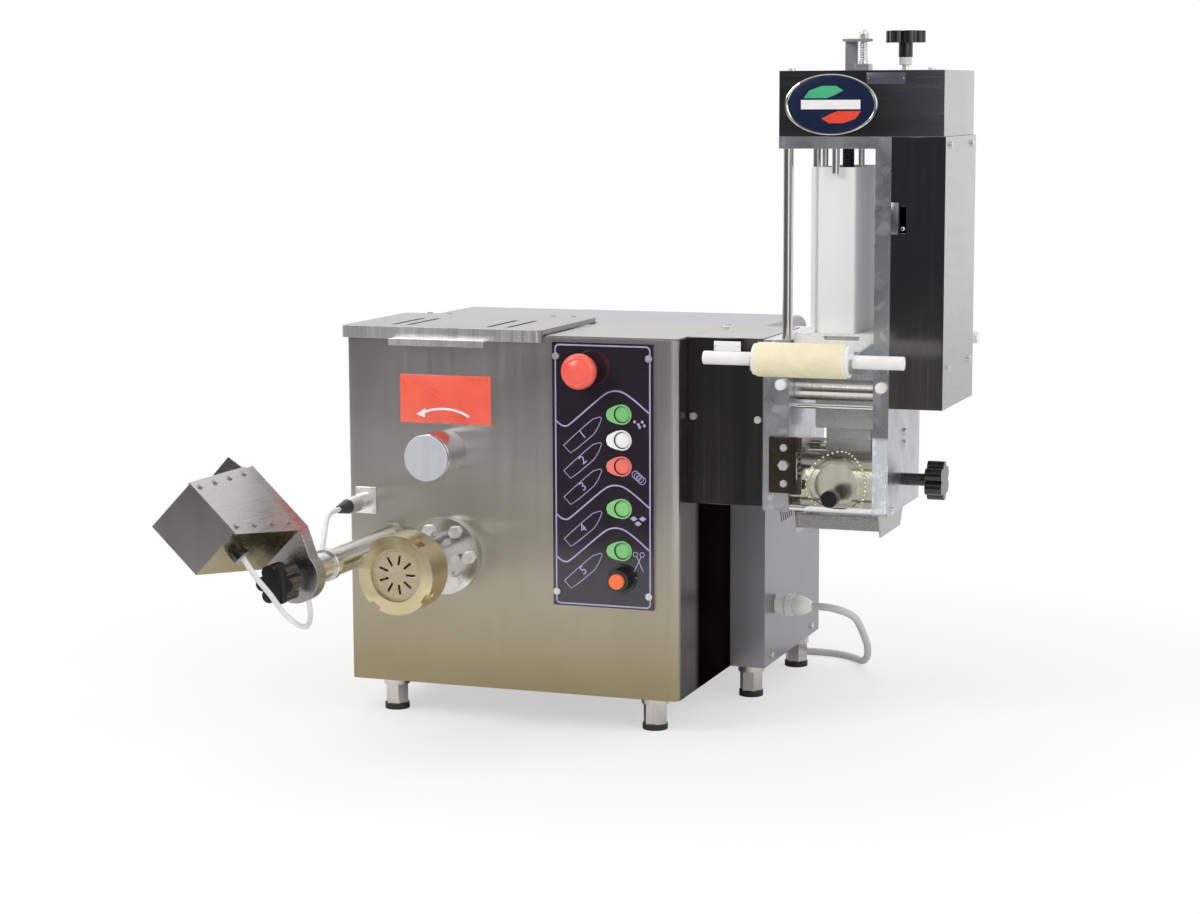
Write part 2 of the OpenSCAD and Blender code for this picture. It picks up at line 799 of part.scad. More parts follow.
module lid() color("silver") {
    difference() {
        translate([lid_x, lid_y, lid_bottom]) linear_extrude(lid_pan_h)
            corner_plan(lid_w, lid_d, lid_left_r, lid_front_r);
        translate([lid_x + sheet_t, lid_y + sheet_t, lid_bottom - eps])
            linear_extrude(lid_pan_h - sheet_t + eps)
                corner_plan(lid_w - 2 * sheet_t, lid_d, lid_left_r - sheet_t, lid_front_r - sheet_t);
        slab([sheet_t, sheet_t, lid_bottom - eps], [lid_right + eps, lid_back + eps, cover_top + gap]);
        slab([lid_right - 2 * sheet_t, -gap, lid_bottom - eps],
            [lid_right + eps, lid_back + eps, cover_top + gap]);
        for (x = slot_x) slab([x, slot_y, lid_top - 2 * sheet_t],
            [x + lid_slot_w, slot_y + lid_slot_len, lid_top + eps]);
    }
    slab([lip_x, lid_y - lip_d, lid_bottom], [lip_x + lip_w, lid_y, lid_bottom + sheet_t]);
    slab([lip_x, lid_y - lip_d, lid_bottom - lip_drop], [lip_x + lip_w, lid_y - lip_d + sheet_t, lid_bottom]);
    for (x = knuckle_at) {
        bar_x(x, x + knuckle_len, hinge_y, hinge_z, knuckle_r);
        slab([x, lid_back - 2, lid_top - sheet_t], [x + knuckle_len, hinge_y, hinge_z + knuckle_r]);
        bar_x(x - ear_t, x + knuckle_len + ear_t, hinge_y, hinge_z, hinge_pin_r);
    }
}

// Kneader

module tank_section(r, mouth) {
    translate([drive_x, mixer_z]) {
        circle(r);
        polygon([[-r, 0], [r, 0], [mouth / 2, housing_top - mixer_z], [-mouth / 2, housing_top - mixer_z]]);
    }
}

module mixing_tank() color("silver") difference() {
    union() {
        intersection() {
            extrude_y(tank_front, tank_back) tank_section(tank_r + tank_t, tank_mouth_w + 2 * tank_t);
            slab([0, 0, 0], [housing_w, rear_y, housing_top]);
        }
        slab([sheet_t, front_bend_r, tank_flange_z], [cover_x + 4, hinge_y, housing_top]);
        slab([front_bend_r, sheet_t, tank_flange_z], [cover_x + 4, front_bend_r + 1, housing_top]);
        bar_y(drive_x, mixer_z, -mixer_boss_len, tank_front, boss_r);
    }
    extrude_y(tank_front + tank_t, tank_back - tank_t) union() {
        tank_section(tank_r, tank_mouth_w);
        translate([drive_x - tank_mouth_w / 2, housing_top - eps / 2]) square([tank_mouth_w, eps]);
    }
    bar_y(drive_x, mixer_z, -mixer_boss_len - eps, tank_back + eps, paddle_shaft_r + fit);
    slab([drive_x - drop_w / 2, drop_y, mixer_z - tank_r - 2 * tank_t],
        [drive_x + drop_w / 2, drop_y + drop_w, mixer_z - tank_r / 2]);
}

module mixing_paddle() color("gainsboro") {
    blade_in = paddle_r - 10;
    arm_y = tank_front + tank_t + 22;
    arm_pitch = 34;
    bar_y(drive_x, mixer_z, -mixer_boss_len + 2, wheel_y + wheel_w + 2, paddle_shaft_r);
    for (i = [0:3]) translate([drive_x, arm_y + i * arm_pitch, mixer_z]) rotate([0, i * 90 + 20, 0]) {
        slab([0, -5, -4], [blade_in + 2, 5, 4]);
        slab([blade_in, -16, -3], [paddle_r, 16, 3]);
    }
    bar_y(drive_x, mixer_z, wheel_y, wheel_y + wheel_w, mixer_wheel_r);
}

module mixer_knob() difference() {
    union() {
        color("silver") {
            bar_y(drive_x, mixer_z, -mixer_knob_out + 6, -gap, mixer_knob_r);
            bar_y(drive_x, mixer_z, -mixer_knob_out + 3, -mixer_knob_out + 6, mixer_knob_r - 1.5);
        }
        color("gainsboro") bar_y(drive_x, mixer_z, -mixer_knob_out, -mixer_knob_out + 3, mixer_knob_r);
    }
    bar_y(drive_x, mixer_z, -mixer_boss_len - gap, eps, boss_r + fit);
}

// Controls

// Centre (X, Z) and hole radius of every control in the panel
function button_heights() = [mixer_button_h, stop_button_h, extruder_button_h, ravioli_button_h,
    cutter_button_h];
function button_places() = concat(
    [for (h = button_heights()) [button_x_abs, panel_z + h, button_barrel_r]],
    [[panel_x + estop_x, panel_z + estop_h, estop_ring_r - 1.5],
        [button_x_abs, panel_z + speed_knob_h, speed_bush_r]]);

module control_panel() color("#141416") difference() {
    slab([panel_x, -panel_t, panel_z], [panel_x + panel_w, 0, panel_z + panel_h]);
    for (b = button_places()) bar_y(b[0], b[1], -panel_t - eps, eps, b[2] + fit);
}

// Fixed part of one control: a threaded barrel with a pocket for the cap, a ring where ring_h is
// above 0, and a contact block
module switch_body(x, z, r, stem_r, pocket_r, pocket_y, ring_r = 0, ring_h = 0) {
    front_y = -panel_t - ring_h;
    color("#2c2c30") difference() {
        union() {
            bar_y(x, z, -panel_t - min(ring_h, gap), barrel_len, r);
            if (ring_h > 0) bar_y(x, z, front_y, -panel_t, ring_r);
        }
        bar_y(x, z, front_y - eps, pocket_y, pocket_r);
        bar_y(x, z, front_y - eps, barrel_len - 3, stem_r + fit);
    }
    color("#30343a") slab([x - contact_w / 2, barrel_len, z - contact_w / 2],
        [x + contact_w / 2, barrel_len + contact_d, z + contact_w / 2]);
}

module button_bodies() {
    for (h = button_heights())
        switch_body(button_x_abs, panel_z + h, button_barrel_r, button_stem_r, button_r + button_gap,
            -panel_t + button_sink + button_head + button_travel + gap);
    switch_body(panel_x + estop_x, panel_z + estop_h, estop_ring_r - 1.5, estop_stem_r, estop_stem_r,
        -panel_t, estop_ring_r, estop_ring_h);
    color("silver") difference() {
        union() {
            bar_y(button_x_abs, panel_z + speed_knob_h, -panel_t, barrel_len / 2, speed_bush_r);
            bar_y(button_x_abs, panel_z + speed_knob_h, barrel_len / 2, barrel_len, speed_grip_r);
        }
        bar_y(button_x_abs, panel_z + speed_knob_h, -panel_t - eps, barrel_len / 2 + 2, speed_shaft_r + fit);
    }
}

// A push-button cap on its stem, sunk in the panel
module push_button(h) {
    z = panel_z + h;
    face_y = -panel_t + button_sink;
    bar_y(button_x_abs, z, face_y, face_y + button_head, button_r);
    bar_y(button_x_abs, z, face_y + button_head, barrel_len - 3 - button_travel - gap, button_stem_r);
}

module mixer_button() color("#4fae74") push_button(mixer_button_h);
module stop_button() color("white") push_button(stop_button_h);
module extruder_button() color("#e8502e") push_button(extruder_button_h);
module ravioli_button() color("#4fae74") push_button(ravioli_button_h);
module cutter_button() color("#4fae74") push_button(cutter_button_h);

module estop_button() color("#e8392a") {
    head_y = -panel_t - estop_out;
    x = panel_x + estop_x;
    z = panel_z + estop_h;
    translate([x, head_y, z]) rotate([-90, 0, 0]) rotate_extrude() difference() {
        square([estop_r, estop_head_h]);
        translate([estop_r - estop_edge_r, 0]) difference() {
            square([estop_edge_r + eps, estop_edge_r]);
            translate([0, estop_edge_r]) circle(estop_edge_r);
        }
    }
    bar_y(x, z, head_y + estop_head_h, barrel_len - 3 - estop_travel - gap, estop_stem_r);
}

module speed_knob() {
    x = button_x_abs;
    z = panel_z + speed_knob_h;
    front_y = -panel_t - speed_out;
    skirt_y = -panel_t - gap - speed_skirt_h;
    color("#161616") {
        bar_y(x, z, skirt_y, skirt_y + speed_skirt_h, speed_skirt_r);
        bar_y(x, z, front_y + speed_cap_h, skirt_y, speed_grip_r);
        for (i = [0:speed_ribs - 1]) translate([x, 0, z]) rotate([0, i * 360 / speed_ribs, 0])
            slab([speed_grip_r - 1, front_y + speed_cap_h + 1, -rib_half],
                [speed_grip_r + rib_out, skirt_y + 0.5, rib_half]);
        bar_y(x, z, skirt_y, barrel_len / 2, speed_shaft_r);
    }
    color("#ee6a35") bar_y(x, z, front_y, front_y + speed_cap_h, speed_cap_r);
}

module front_plate(p, y) slab([p[0], y - plate_t, p[1]], [p[0] + p[2], y, p[1] + p[3]]);

module label_plates() {
    color("#e2412e") front_plate(warning_plate, 0);
    color("white") front_plate(rating_plate, link_y);
    color("#3c3c50") front_plate(model_plate, unit_y);
    color("#2b3560") translate([badge_x, 0, head_z + head_cover_h / 2 - 1]) extrude_y(unit_y - badge_t, unit_y)
        polygon([for (i = [0:badge_sides - 1])
            [badge_r[0] * cos(i * 360 / badge_sides), badge_r[1] * sin(i * 360 / badge_sides)]]);
}

module cable_connector() {
    color("silver") difference() {
        slab([connector_x - connector_flange_w / 2, -2, connector_z - connector_flange_h / 2],
            [connector_x + connector_flange_w / 2, 0, connector_z + connector_flange_h / 2]);
        bar_y(connector_x, connector_z, -2 - eps, eps, connector_r + fit);
    }
    color("#55585c") bar_y(connector_x, connector_z, -35, 20, connector_r);
    color("#1a1a1a") {
        bar_y(connector_x, connector_z, -52, -35, connector_r - 0.5);
        translate([connector_x, -52, connector_z]) rotate([90, 0, 0])
            cylinder(r1 = connector_r - 0.5, r2 = cable_d / 2 + 1.5, h = connector_len - 52);
    }
}

// Extruder

module extruder_barrel() color("gainsboro") difference() {
    union() {
        bar_y(drive_x, extruder_z, 0, barrel_back, barrel_r);
        bar_y(drive_x, extruder_z, -flange_t, 0, flange_r);
        bar_y(drive_x, extruder_z, -neck_back, -flange_t, neck_r);
        bar_y(drive_x, extruder_z, -head_front, -neck_back, head_r);
        slab([drive_x - drop_w / 2 - chute_t, drop_y - chute_t, extruder_z],
            [drive_x + drop_w / 2 + chute_t, drop_y + drop_w + chute_t, mixer_z - tank_r]);
    }
    bar_y(drive_x, extruder_z, -head_front - eps, barrel_back - barrel_end_wall, barrel_bore_r);
    bar_y(drive_x, extruder_z, barrel_back - barrel_end_wall - eps, barrel_back + eps, auger_journal_r + fit);
    bar_y(drive_x, extruder_z, -head_front - eps, -head_front + die_t - 2, die_r + fit);
    bar_y(drive_x, mixer_z, 0, barrel_back, tank_r + tank_t + 0.1);
    slab([drive_x - drop_w / 2, drop_y, extruder_z], [drive_x + drop_w / 2, drop_y + drop_w, mixer_z]);
}

module auger() color("gainsboro") {
    flight_len = auger_front + barrel_back - barrel_end_wall - gap;
    translate([drive_x, -auger_front, extruder_z]) rotate([-90, 0, 0])
        linear_extrude(flight_len, twist = -360 * flight_len / auger_lead, segments = 10,
            slices = ceil(flight_len * flight_steps / auger_lead)) {
            circle(auger_shaft_r, $fn = 6);
            polygon([[0, 0], each [for (a = [-20:20:20]) auger_flight_r * [cos(a), sin(a)]]]);
        }
    bar_y(drive_x, extruder_z, barrel_back - barrel_end_wall - gap, auger_back, auger_journal_r);
    bar_y(drive_x, extruder_z, wheel_y, wheel_y + wheel_w, auger_wheel_r);
}

module die_insert() color("#a9743a") difference() {
    bar_y(drive_x, extruder_z, -die_front, -die_front + die_t, die_r);
    for (i = [0:8]) translate([drive_x, 0, extruder_z]) rotate([0, i * 40, 0])
        slab([11, -die_front - eps, -1.3], [22, -die_front + die_t + eps, 1.3]);
}

module ring_nut() color("#b7a173") difference() {
    bar_y(drive_x, extruder_z, -nut_front, -neck_back, nut_r);
    bar_y(drive_x, extruder_z, -nut_front + nut_wall, -neck_back + eps, head_r + fit);
    bar_y(drive_x, extruder_z, -nut_front - eps, -nut_front + nut_wall + eps, nut_opening_r);
    for (i = [0:3]) translate([drive_x, 0, extruder_z]) rotate([0, i * 90 + 35, 0])
        slab([nut_r - 4, -nut_front - eps, -6], [nut_r + eps, -nut_front + 16, 6]);
}

// Drives

module gear_motors() color("#5d6a72") {
    difference() {
        slab([reducer_x, reducer_y, reducer_z],
            [reducer_x + reducer_w, reducer_y + reducer_d, reducer_z + reducer_h]);
        bar_y(drive_x, extruder_z, reducer_y - eps, reducer_y + reducer_socket, auger_journal_r + fit);
    }
    bar_x(reducer_x + reducer_w, reducer_x + reducer_w + motor_len, motor_y, extruder_z, motor_r);
    // Gear motor of the ravioli unit, flanged to the right wall
    difference() {
        union() {
            bar_x(housing_w - roller_flange_t - roller_motor_len, housing_w - roller_flange_t,
                rear_mould_y, mould_z, roller_motor_r);
            slab([housing_w - roller_flange_t, rear_mould_y - roller_flange_half, mould_z - roller_flange_half],
                [housing_w - sheet_t, rear_mould_y + roller_flange_half, mould_z + roller_flange_half]);
        }
        bar_x(housing_w - roller_socket, housing_w, rear_mould_y, mould_z, journal_r + fit);
    }
    // Gear motor of the filling screw, hung from a shelf on the right side plate
    bar_z(dosing_x, unit_mid, shelf_z - dosing_motor_len, shelf_z, dosing_motor_r);
    slab([cover_side_x, unit_mid - shelf_half, shelf_z],
        [unit_right - 2 * sheet_t, unit_mid + shelf_half, shelf_z + shelf_t]);
    bar_z(dosing_x, unit_mid, shelf_z + shelf_t, head_wheel_z, dosing_shaft_r);
    bar_z(dosing_x, unit_mid, head_wheel_z, head_wheel_z + head_wheel_h, dosing_wheel_r);
}

// Outline of a chain round two wheels: centres a and b, pitch radii ra and rb
module chain_outline(a, b, ra, rb) {
    d = norm(b - a);
    u = (b - a) / d;
    v = [-u[1], u[0]];
    s = (ra - rb) / d;
    c = sqrt(1 - s * s);
    translate(a) circle(ra);
    translate(b) circle(rb);
    high = s * u + c * v;
    low = s * u - c * v;
    polygon([a + ra * high, b + rb * high, b + rb * low, a + ra * low]);
}

module chain_loop(a, b, ra, rb, w) linear_extrude(w) difference() {
    chain_outline(a, b, ra + gap + chain_t, rb + gap + chain_t);
    chain_outline(a, b, ra + gap, rb + gap);
}

module drive_chains() color("#3b3b3b") {
    translate([0, wheel_y + wheel_w, 0]) rotate([90, 0, 0])
        chain_loop([drive_x, extruder_z], [drive_x, mixer_z], auger_wheel_r, mixer_wheel_r, wheel_w);
    translate([0, 0, head_wheel_z])
        chain_loop([screw_x, screw_y], [dosing_x, unit_mid], screw_wheel_r, dosing_wheel_r, head_wheel_h);
}

// Cutter

module arm_rod() color("silver") {
    bar_y(pivot_x, pivot_z, -arm_front + arm_t, rod_inner, rod_r);
    bar_y(pivot_x, pivot_z, -arm_front, -arm_front + arm_t, spigot_r);
    bar_y(pivot_x, pivot_z, -arm_front - knob_stem_len - 4, -arm_front, knob_stud_r);
    bar_y(pivot_x, pivot_z, clip_y - clip_half - 1, clip_y + clip_half + 1, clip_r);
    translate([pivot_x, 0, pivot_z]) rotate([0, clip_angle, 0])
        slab([rod_r + 1, clip_y - clip_half, -clip_w / 2],
            [clip_reach + clip_w / 2, clip_y + clip_half, clip_w / 2]);
}

module arm_outline() {
    near = box_far - box_back_len;
    far = box_far;
    v1 = box_v0 + box_w;
    circle(arm_end_r);
    polygon([[0, -arm_end_r], [near, box_v0], [far, box_v0], [far, v1], [near, v1], [0, arm_end_r]]);
}

module cutter_arm() color("gainsboro") arm_frame() difference() {
    extrude_y(-arm_front, -arm_front + arm_t) arm_outline();
    bar_y(0, 0, -arm_front - eps, -arm_front + arm_t + eps, spigot_r + fit);
    bar_y(motor_u, motor_v, -arm_front - eps, -arm_front + arm_t + eps, knife_shaft_r + fit);
}

// Side outline of the motor box, in the arm frame's X and Y
module box_side(inset) {
    front_near = box_far - box_front_len;
    back_near = box_far - box_back_len;
    lean = (front_near - back_near) / box_d;
    polygon([[front_near + inset * (1 - lean), box_front_y + inset], [box_far - inset, box_front_y + inset],
        [box_far - inset, box_back_y + (inset > 0 ? eps : 0)],
        [back_near + inset - (inset > 0 ? lean * eps : 0), box_back_y + (inset > 0 ? eps : 0)]]);
}

module cutter_box() arm_frame() {
    color("silver") {
        difference() {
            translate([0, 0, box_v0]) linear_extrude(box_w) box_side(0);
            translate([0, 0, box_v0 + box_wall]) linear_extrude(box_w - 2 * box_wall) box_side(box_wall);
        }
        // Screwed side cover and its screws
        translate([0, 0, box_v0 - box_wall]) linear_extrude(box_wall)
            polygon([[box_far - box_front_len - 3, box_front_y - 1], [box_far + 1, box_front_y - 1],
                [box_far + 1, box_back_y], [box_far - box_back_len - 3, box_back_y]]);
        for (u = [0:3]) {
            translate([box_far - 7, box_front_y + 12 + u * (box_d - 24) / 3, box_v0 - box_wall - cover_screw_h])
                cylinder(r = cover_screw_r, h = cover_screw_h);
            translate([box_far - box_front_len + 6 - u * 5, box_front_y + 12 + u * (box_d - 24) / 3,
                box_v0 - box_wall - cover_screw_h]) cylinder(r = cover_screw_r, h = cover_screw_h);
        }
        // Bracket on the far side
        extrude_y(box_back_y - 2, box_back_y)
            polygon([[box_far, box_v0], [box_far + 21, box_v0 + 4],
                [box_far + 20, box_v0 + 36], [box_far, box_v0 + 50]]);
    }
    face_u = box_far - box_front_len - (box_back_len - box_front_len) * (cutter_gland_y - box_front_y) / box_d;
    color("#1a1a1a") translate([face_u + 2, cutter_gland_y, cutter_gland_v]) rotate([0, -90, 0])
        cylinder(r = cutter_gland_r, h = cutter_gland_len + 2);
}

module cutter_motor() color("#5d6a72") arm_frame() difference() {
    bar_y(motor_u, motor_v, box_back_y - cutter_motor_len, box_back_y, cutter_motor_r);
    bar_y(motor_u, motor_v, box_back_y - 9, box_back_y + eps, knife_shaft_r + fit);
}

module cutter_knife() color("gainsboro") arm_frame() {
    bar_y(motor_u, motor_v, box_back_y - 8, knife_y + knife_t + 4, knife_shaft_r);
    bar_y(motor_u, motor_v, knife_y - 4, knife_y + knife_t, knife_hub_r);
    slab([motor_u - knife_len, knife_y, motor_v - knife_w / 2],
        [motor_u + knife_len, knife_y + knife_t, motor_v + knife_w / 2]);
}

module arm_knob() color("#111111") difference() {
    union() {
        bar_y(pivot_x, pivot_z, -arm_front - knob_stem_len, -arm_front - gap, knob_stem_r);
        translate([pivot_x, -arm_front - knob_stem_len, pivot_z]) rotate([90, 0, 0])
            lobed_head(lobed_r, knob_head_h);
    }
    bar_y(pivot_x, pivot_z, -arm_front - knob_stem_len - 5, -arm_front + eps, knob_stud_r + fit);
}

module cutter_cable_rear() color("white") cord_tube(rear_cable_route, cable_d / 2, 8);
module cutter_cable_front() color("white") cord_tube(front_cable_route, cable_d / 2, 8);

// Ravioli unit: frame and covers

module link_box() color("silver") difference() {
    slab([housing_w, link_y, link_z], [unit_x, unit_back, link_top]);
    slab([housing_w + sheet_t, link_y + sheet_t, link_z + sheet_t],
        [unit_x + eps, unit_back - sheet_t, link_top - sheet_t]);
    bar_x(housing_w - eps, housing_w + sheet_t + eps, rear_mould_y, mould_z, journal_r + 1);
}

// Side outline of a mandrel fork, in Y and Z; side is -1 in front and 1 behind
module fork_outline(y_plate, y_axis) {
    side = y_axis < y_plate ? -1 : 1;
    tip = y_axis + side * fork_tip;
    difference() {
        polygon([[y_plate, tab_z], [y_plate, tab_z + tab_h], [tip, mandrel_z + 3], [tip, mandrel_z - 12]]);
        translate([y_axis, mandrel_z]) circle(mandrel_r + fit);
        translate([y_axis - mandrel_r - fit, mandrel_z]) square([2 * (mandrel_r + fit), 40]);
    }
}

module mandrel_forks(y_plate, y_axis) {
    side = y_axis < y_plate ? -1 : 1;
    fork_right = sleeve_x + sleeve_len + collar_t + fork_gap;
    fork_left = sleeve_x - collar_t - fork_gap - fork_t;
    tab_y = side < 0 ? y_plate - fork_t : y_plate;
    extrude_x(fork_left, fork_left + fork_t) fork_outline(y_plate, y_axis);
    extrude_x(fork_right, fork_right + fork_t) fork_outline(y_plate, y_axis);
    slab([fork_left, tab_y, tab_z], [fork_left + tab_w, tab_y + fork_t, tab_z + tab_h]);
    slab([fork_right, tab_y, tab_z], [cover_side_x - 1, tab_y + fork_t, tab_z + tab_h]);
}

module tower_frame() color("#a9adb2") {
    difference() {
        union() {
            slab([unit_x, unit_y, unit_bottom], [roller_x, unit_back, left_plate_top]);
            slab([right_x, unit_y, unit_bottom], [cover_side_x, unit_back, top_plate_z]);
        }
        for (y = [front_mould_y, rear_mould_y])
            bar_x(unit_x - eps, right_x + journal_in, y, mould_z, journal_r + fit);
        for (y = [feed_front_y, feed_rear_y])
            bar_x(roller_x - journal_in, right_x + journal_in, y, feed_z, feed_shaft_r + fit);
        bar_x(cover_side_x - 12, cover_side_x + eps, unit_mid, side_knob_z, side_shaft_r + fit);
    }
    difference() {
        slab([top_plate_x, unit_y, top_plate_z], [cover_side_x, unit_back, head_z]);
        bar_z(screw_x, screw_y, top_plate_z - eps, head_z + eps, screw_r + fit);
    }
    mandrel_forks(unit_y, mandrel_front_y);
    mandrel_forks(unit_back, mandrel_rear_y);
}

module tie_rods() color("silver") {
    bar_z(top_plate_x + 9, unit_y + 7, left_plate_top, top_plate_z, front_post_r);
    bar_z(top_plate_x + 6, unit_back - 12, left_plate_top, top_plate_z, rear_post_r);
    bar_x(roller_x, right_x, unit_y + 20, feed_z - 17, spacer_r);
    bar_x(roller_x, right_x, unit_y + 4, unit_bottom + 5, lower_bar_r);
    // Hold-down pins of the hopper
    bar_z(screw_x, hopper_y - 4.8, hopper_top - 7, top_plate_z, 4.5);
    bar_z(screw_x + 15, screw_y, hopper_top, top_plate_z, 3.5);
    bar_z(hopper_x - 4, channel_y + 40, hopper_top - 60, top_plate_z, 3.7);
}

module head_cover() color("silver") {
    difference() {
        slab([top_plate_x, unit_y, head_z], [unit_right - 2, unit_back, head_top]);
        slab([top_plate_x + sheet_t, unit_y + sheet_t, head_z - eps],
            [unit_right - 2 - sheet_t, unit_back - sheet_t, head_top - sheet_t]);
        bar_z(top_knob_x, top_knob_y, head_top - 2 * sheet_t, head_top + eps, 4 + fit);
        bar_z(pin_x, pin_y, head_top - 2 * sheet_t, head_top + eps, pin_r + fit);
    }
    // Bracket and base block of the stop pin
    slab([pin_x - pin_bracket_in, pin_y + pin_half - pin_plate_t, head_top],
        [pin_x - pin_bracket_in + pin_plate_w, pin_y + pin_half, head_top + pin_bracket_h]);
    difference() {
        union() {
            slab([pin_x - pin_bracket_in, pin_y - pin_half, head_top + pin_bracket_h - pin_plate_t],
                [pin_x + pin_half, pin_y + pin_half, head_top + pin_bracket_h]);
            slab([pin_x - pin_half, pin_y - pin_half, head_top],
                [pin_x + pin_half, pin_y + pin_half, head_top + pin_block_h]);
        }
        bar_z(pin_x, pin_y, head_top - eps, head_top + pin_bracket_h + eps, pin_r + fit);
    }
}

module gear_cover() color("silver") difference() {
    slab([cover_side_x, unit_y, gear_cover_z], [unit_right, unit_back + 4, head_z]);
    slab([cover_side_x - eps, unit_y + sheet_t, gear_cover_z + sheet_t],
        [unit_right - sheet_t, unit_back + 4 - sheet_t, head_z - sheet_t]);
    bar_z(dosing_x, unit_mid, head_z - 2 * sheet_t, head_z + eps, 5.5);
    slab([cover_side_x + 10, unit_y - eps, 568], [cover_side_x + 17, unit_y + 2 * sheet_t, 597]);
}

// Ravioli unit: hopper and filling screw

module hopper() color("#d8d8d6") {
    translate([hopper_x, hopper_y, hopper_z]) linear_extrude(hopper_h) difference() {
        round_plan(hopper_w, hopper_d, hopper_r);
        translate([hopper_t, hopper_t])
            round_plan(hopper_w - 2 * hopper_t, hopper_d - 2 * hopper_t, hopper_r - hopper_t);
    }
    difference() {
        slab([hopper_x - channel_w, channel_y, hopper_z], [hopper_x, channel_y + channel_d, hopper_top]);
        slab([hopper_x - groove_w, channel_y - eps, hopper_z - eps],
            [hopper_x, channel_y + groove_w, hopper_top + eps]);
    }
}

module hopper_base() color("#b4b5b3") difference() {
    union() {
        slab([roller_x + base_block_in, hopper_y, hopper_z - base_block_h],
            [right_x, hopper_y + hopper_d + 6, hopper_z]);
        slab([screw_x - neck_w / 2, unit_mid - neck_d / 2, neck_z],
            [screw_x + neck_w / 2, unit_mid + neck_d / 2, hopper_z - base_block_h]);
        slab([screw_x - nozzle_w / 2, unit_mid - nozzle_d / 2, nozzle_z],
            [screw_x + nozzle_w / 2, unit_mid + nozzle_d / 2, neck_z]);
    }
    slab([screw_x - passage_w / 2, unit_mid - passage_d / 2, nozzle_z - eps],
        [screw_x + passage_w / 2, unit_mid + passage_d / 2, hopper_z + eps]);
    slab([screw_x - 13, hopper_y - eps, hopper_z - 3 - slot_h], [screw_x + 26, hopper_y + 8, hopper_z - 3]);
}

module plunger() color("#e9e9e4") difference() {
    translate([hopper_x + hopper_t + gap, hopper_y + hopper_t + gap, plunger_z]) linear_extrude(plunger_t)
        round_plan(hopper_w - 2 * hopper_t - 2 * gap, hopper_d - 2 * hopper_t - 2 * gap, hopper_r - hopper_t);
    bar_z(screw_x, screw_y, plunger_z - eps, plunger_z + plunger_t + eps, screw_r + fit);
}

module lead_screw() color("#1c1c1c") {
    bar_z(screw_x, screw_y, screw_bottom, head_wheel_z + head_wheel_h + 6, screw_r);
    bar_z(screw_x, screw_y, head_wheel_z, head_wheel_z + head_wheel_h, screw_wheel_r);
}

module top_knob() {
    color("silver") bar_z(top_knob_x, top_knob_y, head_top - 8, head_top + 6, 4);
    color("white") bar_z(top_knob_x, top_knob_y, head_top + 6, head_top + 14.5, 7);
    color("#111111") {
        bar_z(top_knob_x, top_knob_y, head_top + 14.5, head_top + 30, 7.8);
        translate([top_knob_x, top_knob_y, head_top + 30]) lobed_head(lobed_r, 13);
    }
}

module stop_pin() color("silver") {
    nut_z = head_top + pin_bracket_h + gap;
    bar_z(pin_x, pin_y, head_top - 6, nut_z + 4, pin_r);
    bar_z(pin_x, pin_y, head_top + pin_block_h + gap, head_top + pin_block_h + 3, 5);
    translate([pin_x, pin_y, nut_z]) cylinder(r = 5.5, h = 5, $fn = 6);
    translate([pin_x, pin_y, nut_z + 5]) intersection() {
        sphere(5);
        slab([-5, -5, 0], [5, 5, 5]);
    }
}

// Ravioli unit: rollers

module mandrel(y, shift = 0) {
    color("white") {
        bar_x(mandrel_x + shift, mandrel_x + shift + mandrel_len, y, mandrel_z, mandrel_r);
        bar_x(sleeve_x - collar_t, sleeve_x, y, mandrel_z, collar_r);
        bar_x(sleeve_x + sleeve_len, sleeve_x + sleeve_len + collar_t, y, mandrel_z, collar_r);
    }
    color("#efe2b8") bar_x(sleeve_x, sleeve_x + sleeve_len, y, mandrel_z, sleeve_r);
}

module front_mandrel() mandrel(mandrel_front_y);
module rear_mandrel() mandrel(mandrel_rear_y, rear_mandrel_shift);

module feed_roller(y) color("silver") {
    bar_x(roller_x + gap, right_x - gap, y, feed_z, feed_r);
    bar_x(roller_x - journal_in + gap, right_x + journal_in - gap, y, feed_z, feed_shaft_r);
}

module front_feed_roller() feed_roller(feed_front_y);
module rear_feed_roller() feed_roller(feed_rear_y);

// Outline of a mould roller's gear; turn sets its phase
module gear_outline(turn) {
    pitch = 360 / gear_teeth;
    polygon([for (i = [0:gear_teeth - 1], k = [[-tooth_root_share, gear_root_r], [-tooth_tip_share, gear_tip_r],
        [tooth_tip_share, gear_tip_r], [tooth_root_share, gear_root_r]])
            k[1] * [cos((i + k[0]) * pitch + turn), sin((i + k[0]) * pitch + turn)]]);
}

// Mould roller along X with its gear, round moulds and journals; journal_left is how far it reaches left
module mould_roller(y, turn, journal_left) translate([0, y, mould_z]) color("silver") {
    drum_x = roller_x + gear_w + gap;
    mid_x = (drum_x + right_x) / 2;
    extrude_x(roller_x + gap, drum_x) gear_outline(turn);
    difference() {
        union() {
            bar_x(drum_x, right_x - gap, 0, 0, mould_r);
            intersection() {
                bar_x(drum_x, right_x - gap, 0, 0, mould_edge_r);
                for (i = [0:mould_count - 1]) rotate([turn + i * 360 / mould_count, 0, 0]) difference() {
                    bar_y(mid_x, 0, -mould_edge_r - eps, -ring_root, mould_ring_r);
                    bar_y(mid_x, 0, -mould_edge_r - 2 * eps, -ring_root + eps, mould_ring_r - mould_ring_t);
                }
            }
        }
        for (i = [0:mould_count - 1]) rotate([turn + i * 360 / mould_count, 0, 0])
            bar_y(mid_x, 0, -mould_edge_r - eps, -mould_r + mould_pocket_d, mould_pocket_r);
    }
    bar_x(right_x - gap, right_x + journal_in - gap, 0, 0, journal_r);
    bar_x(journal_left, roller_x + gap, 0, 0, journal_r);
}

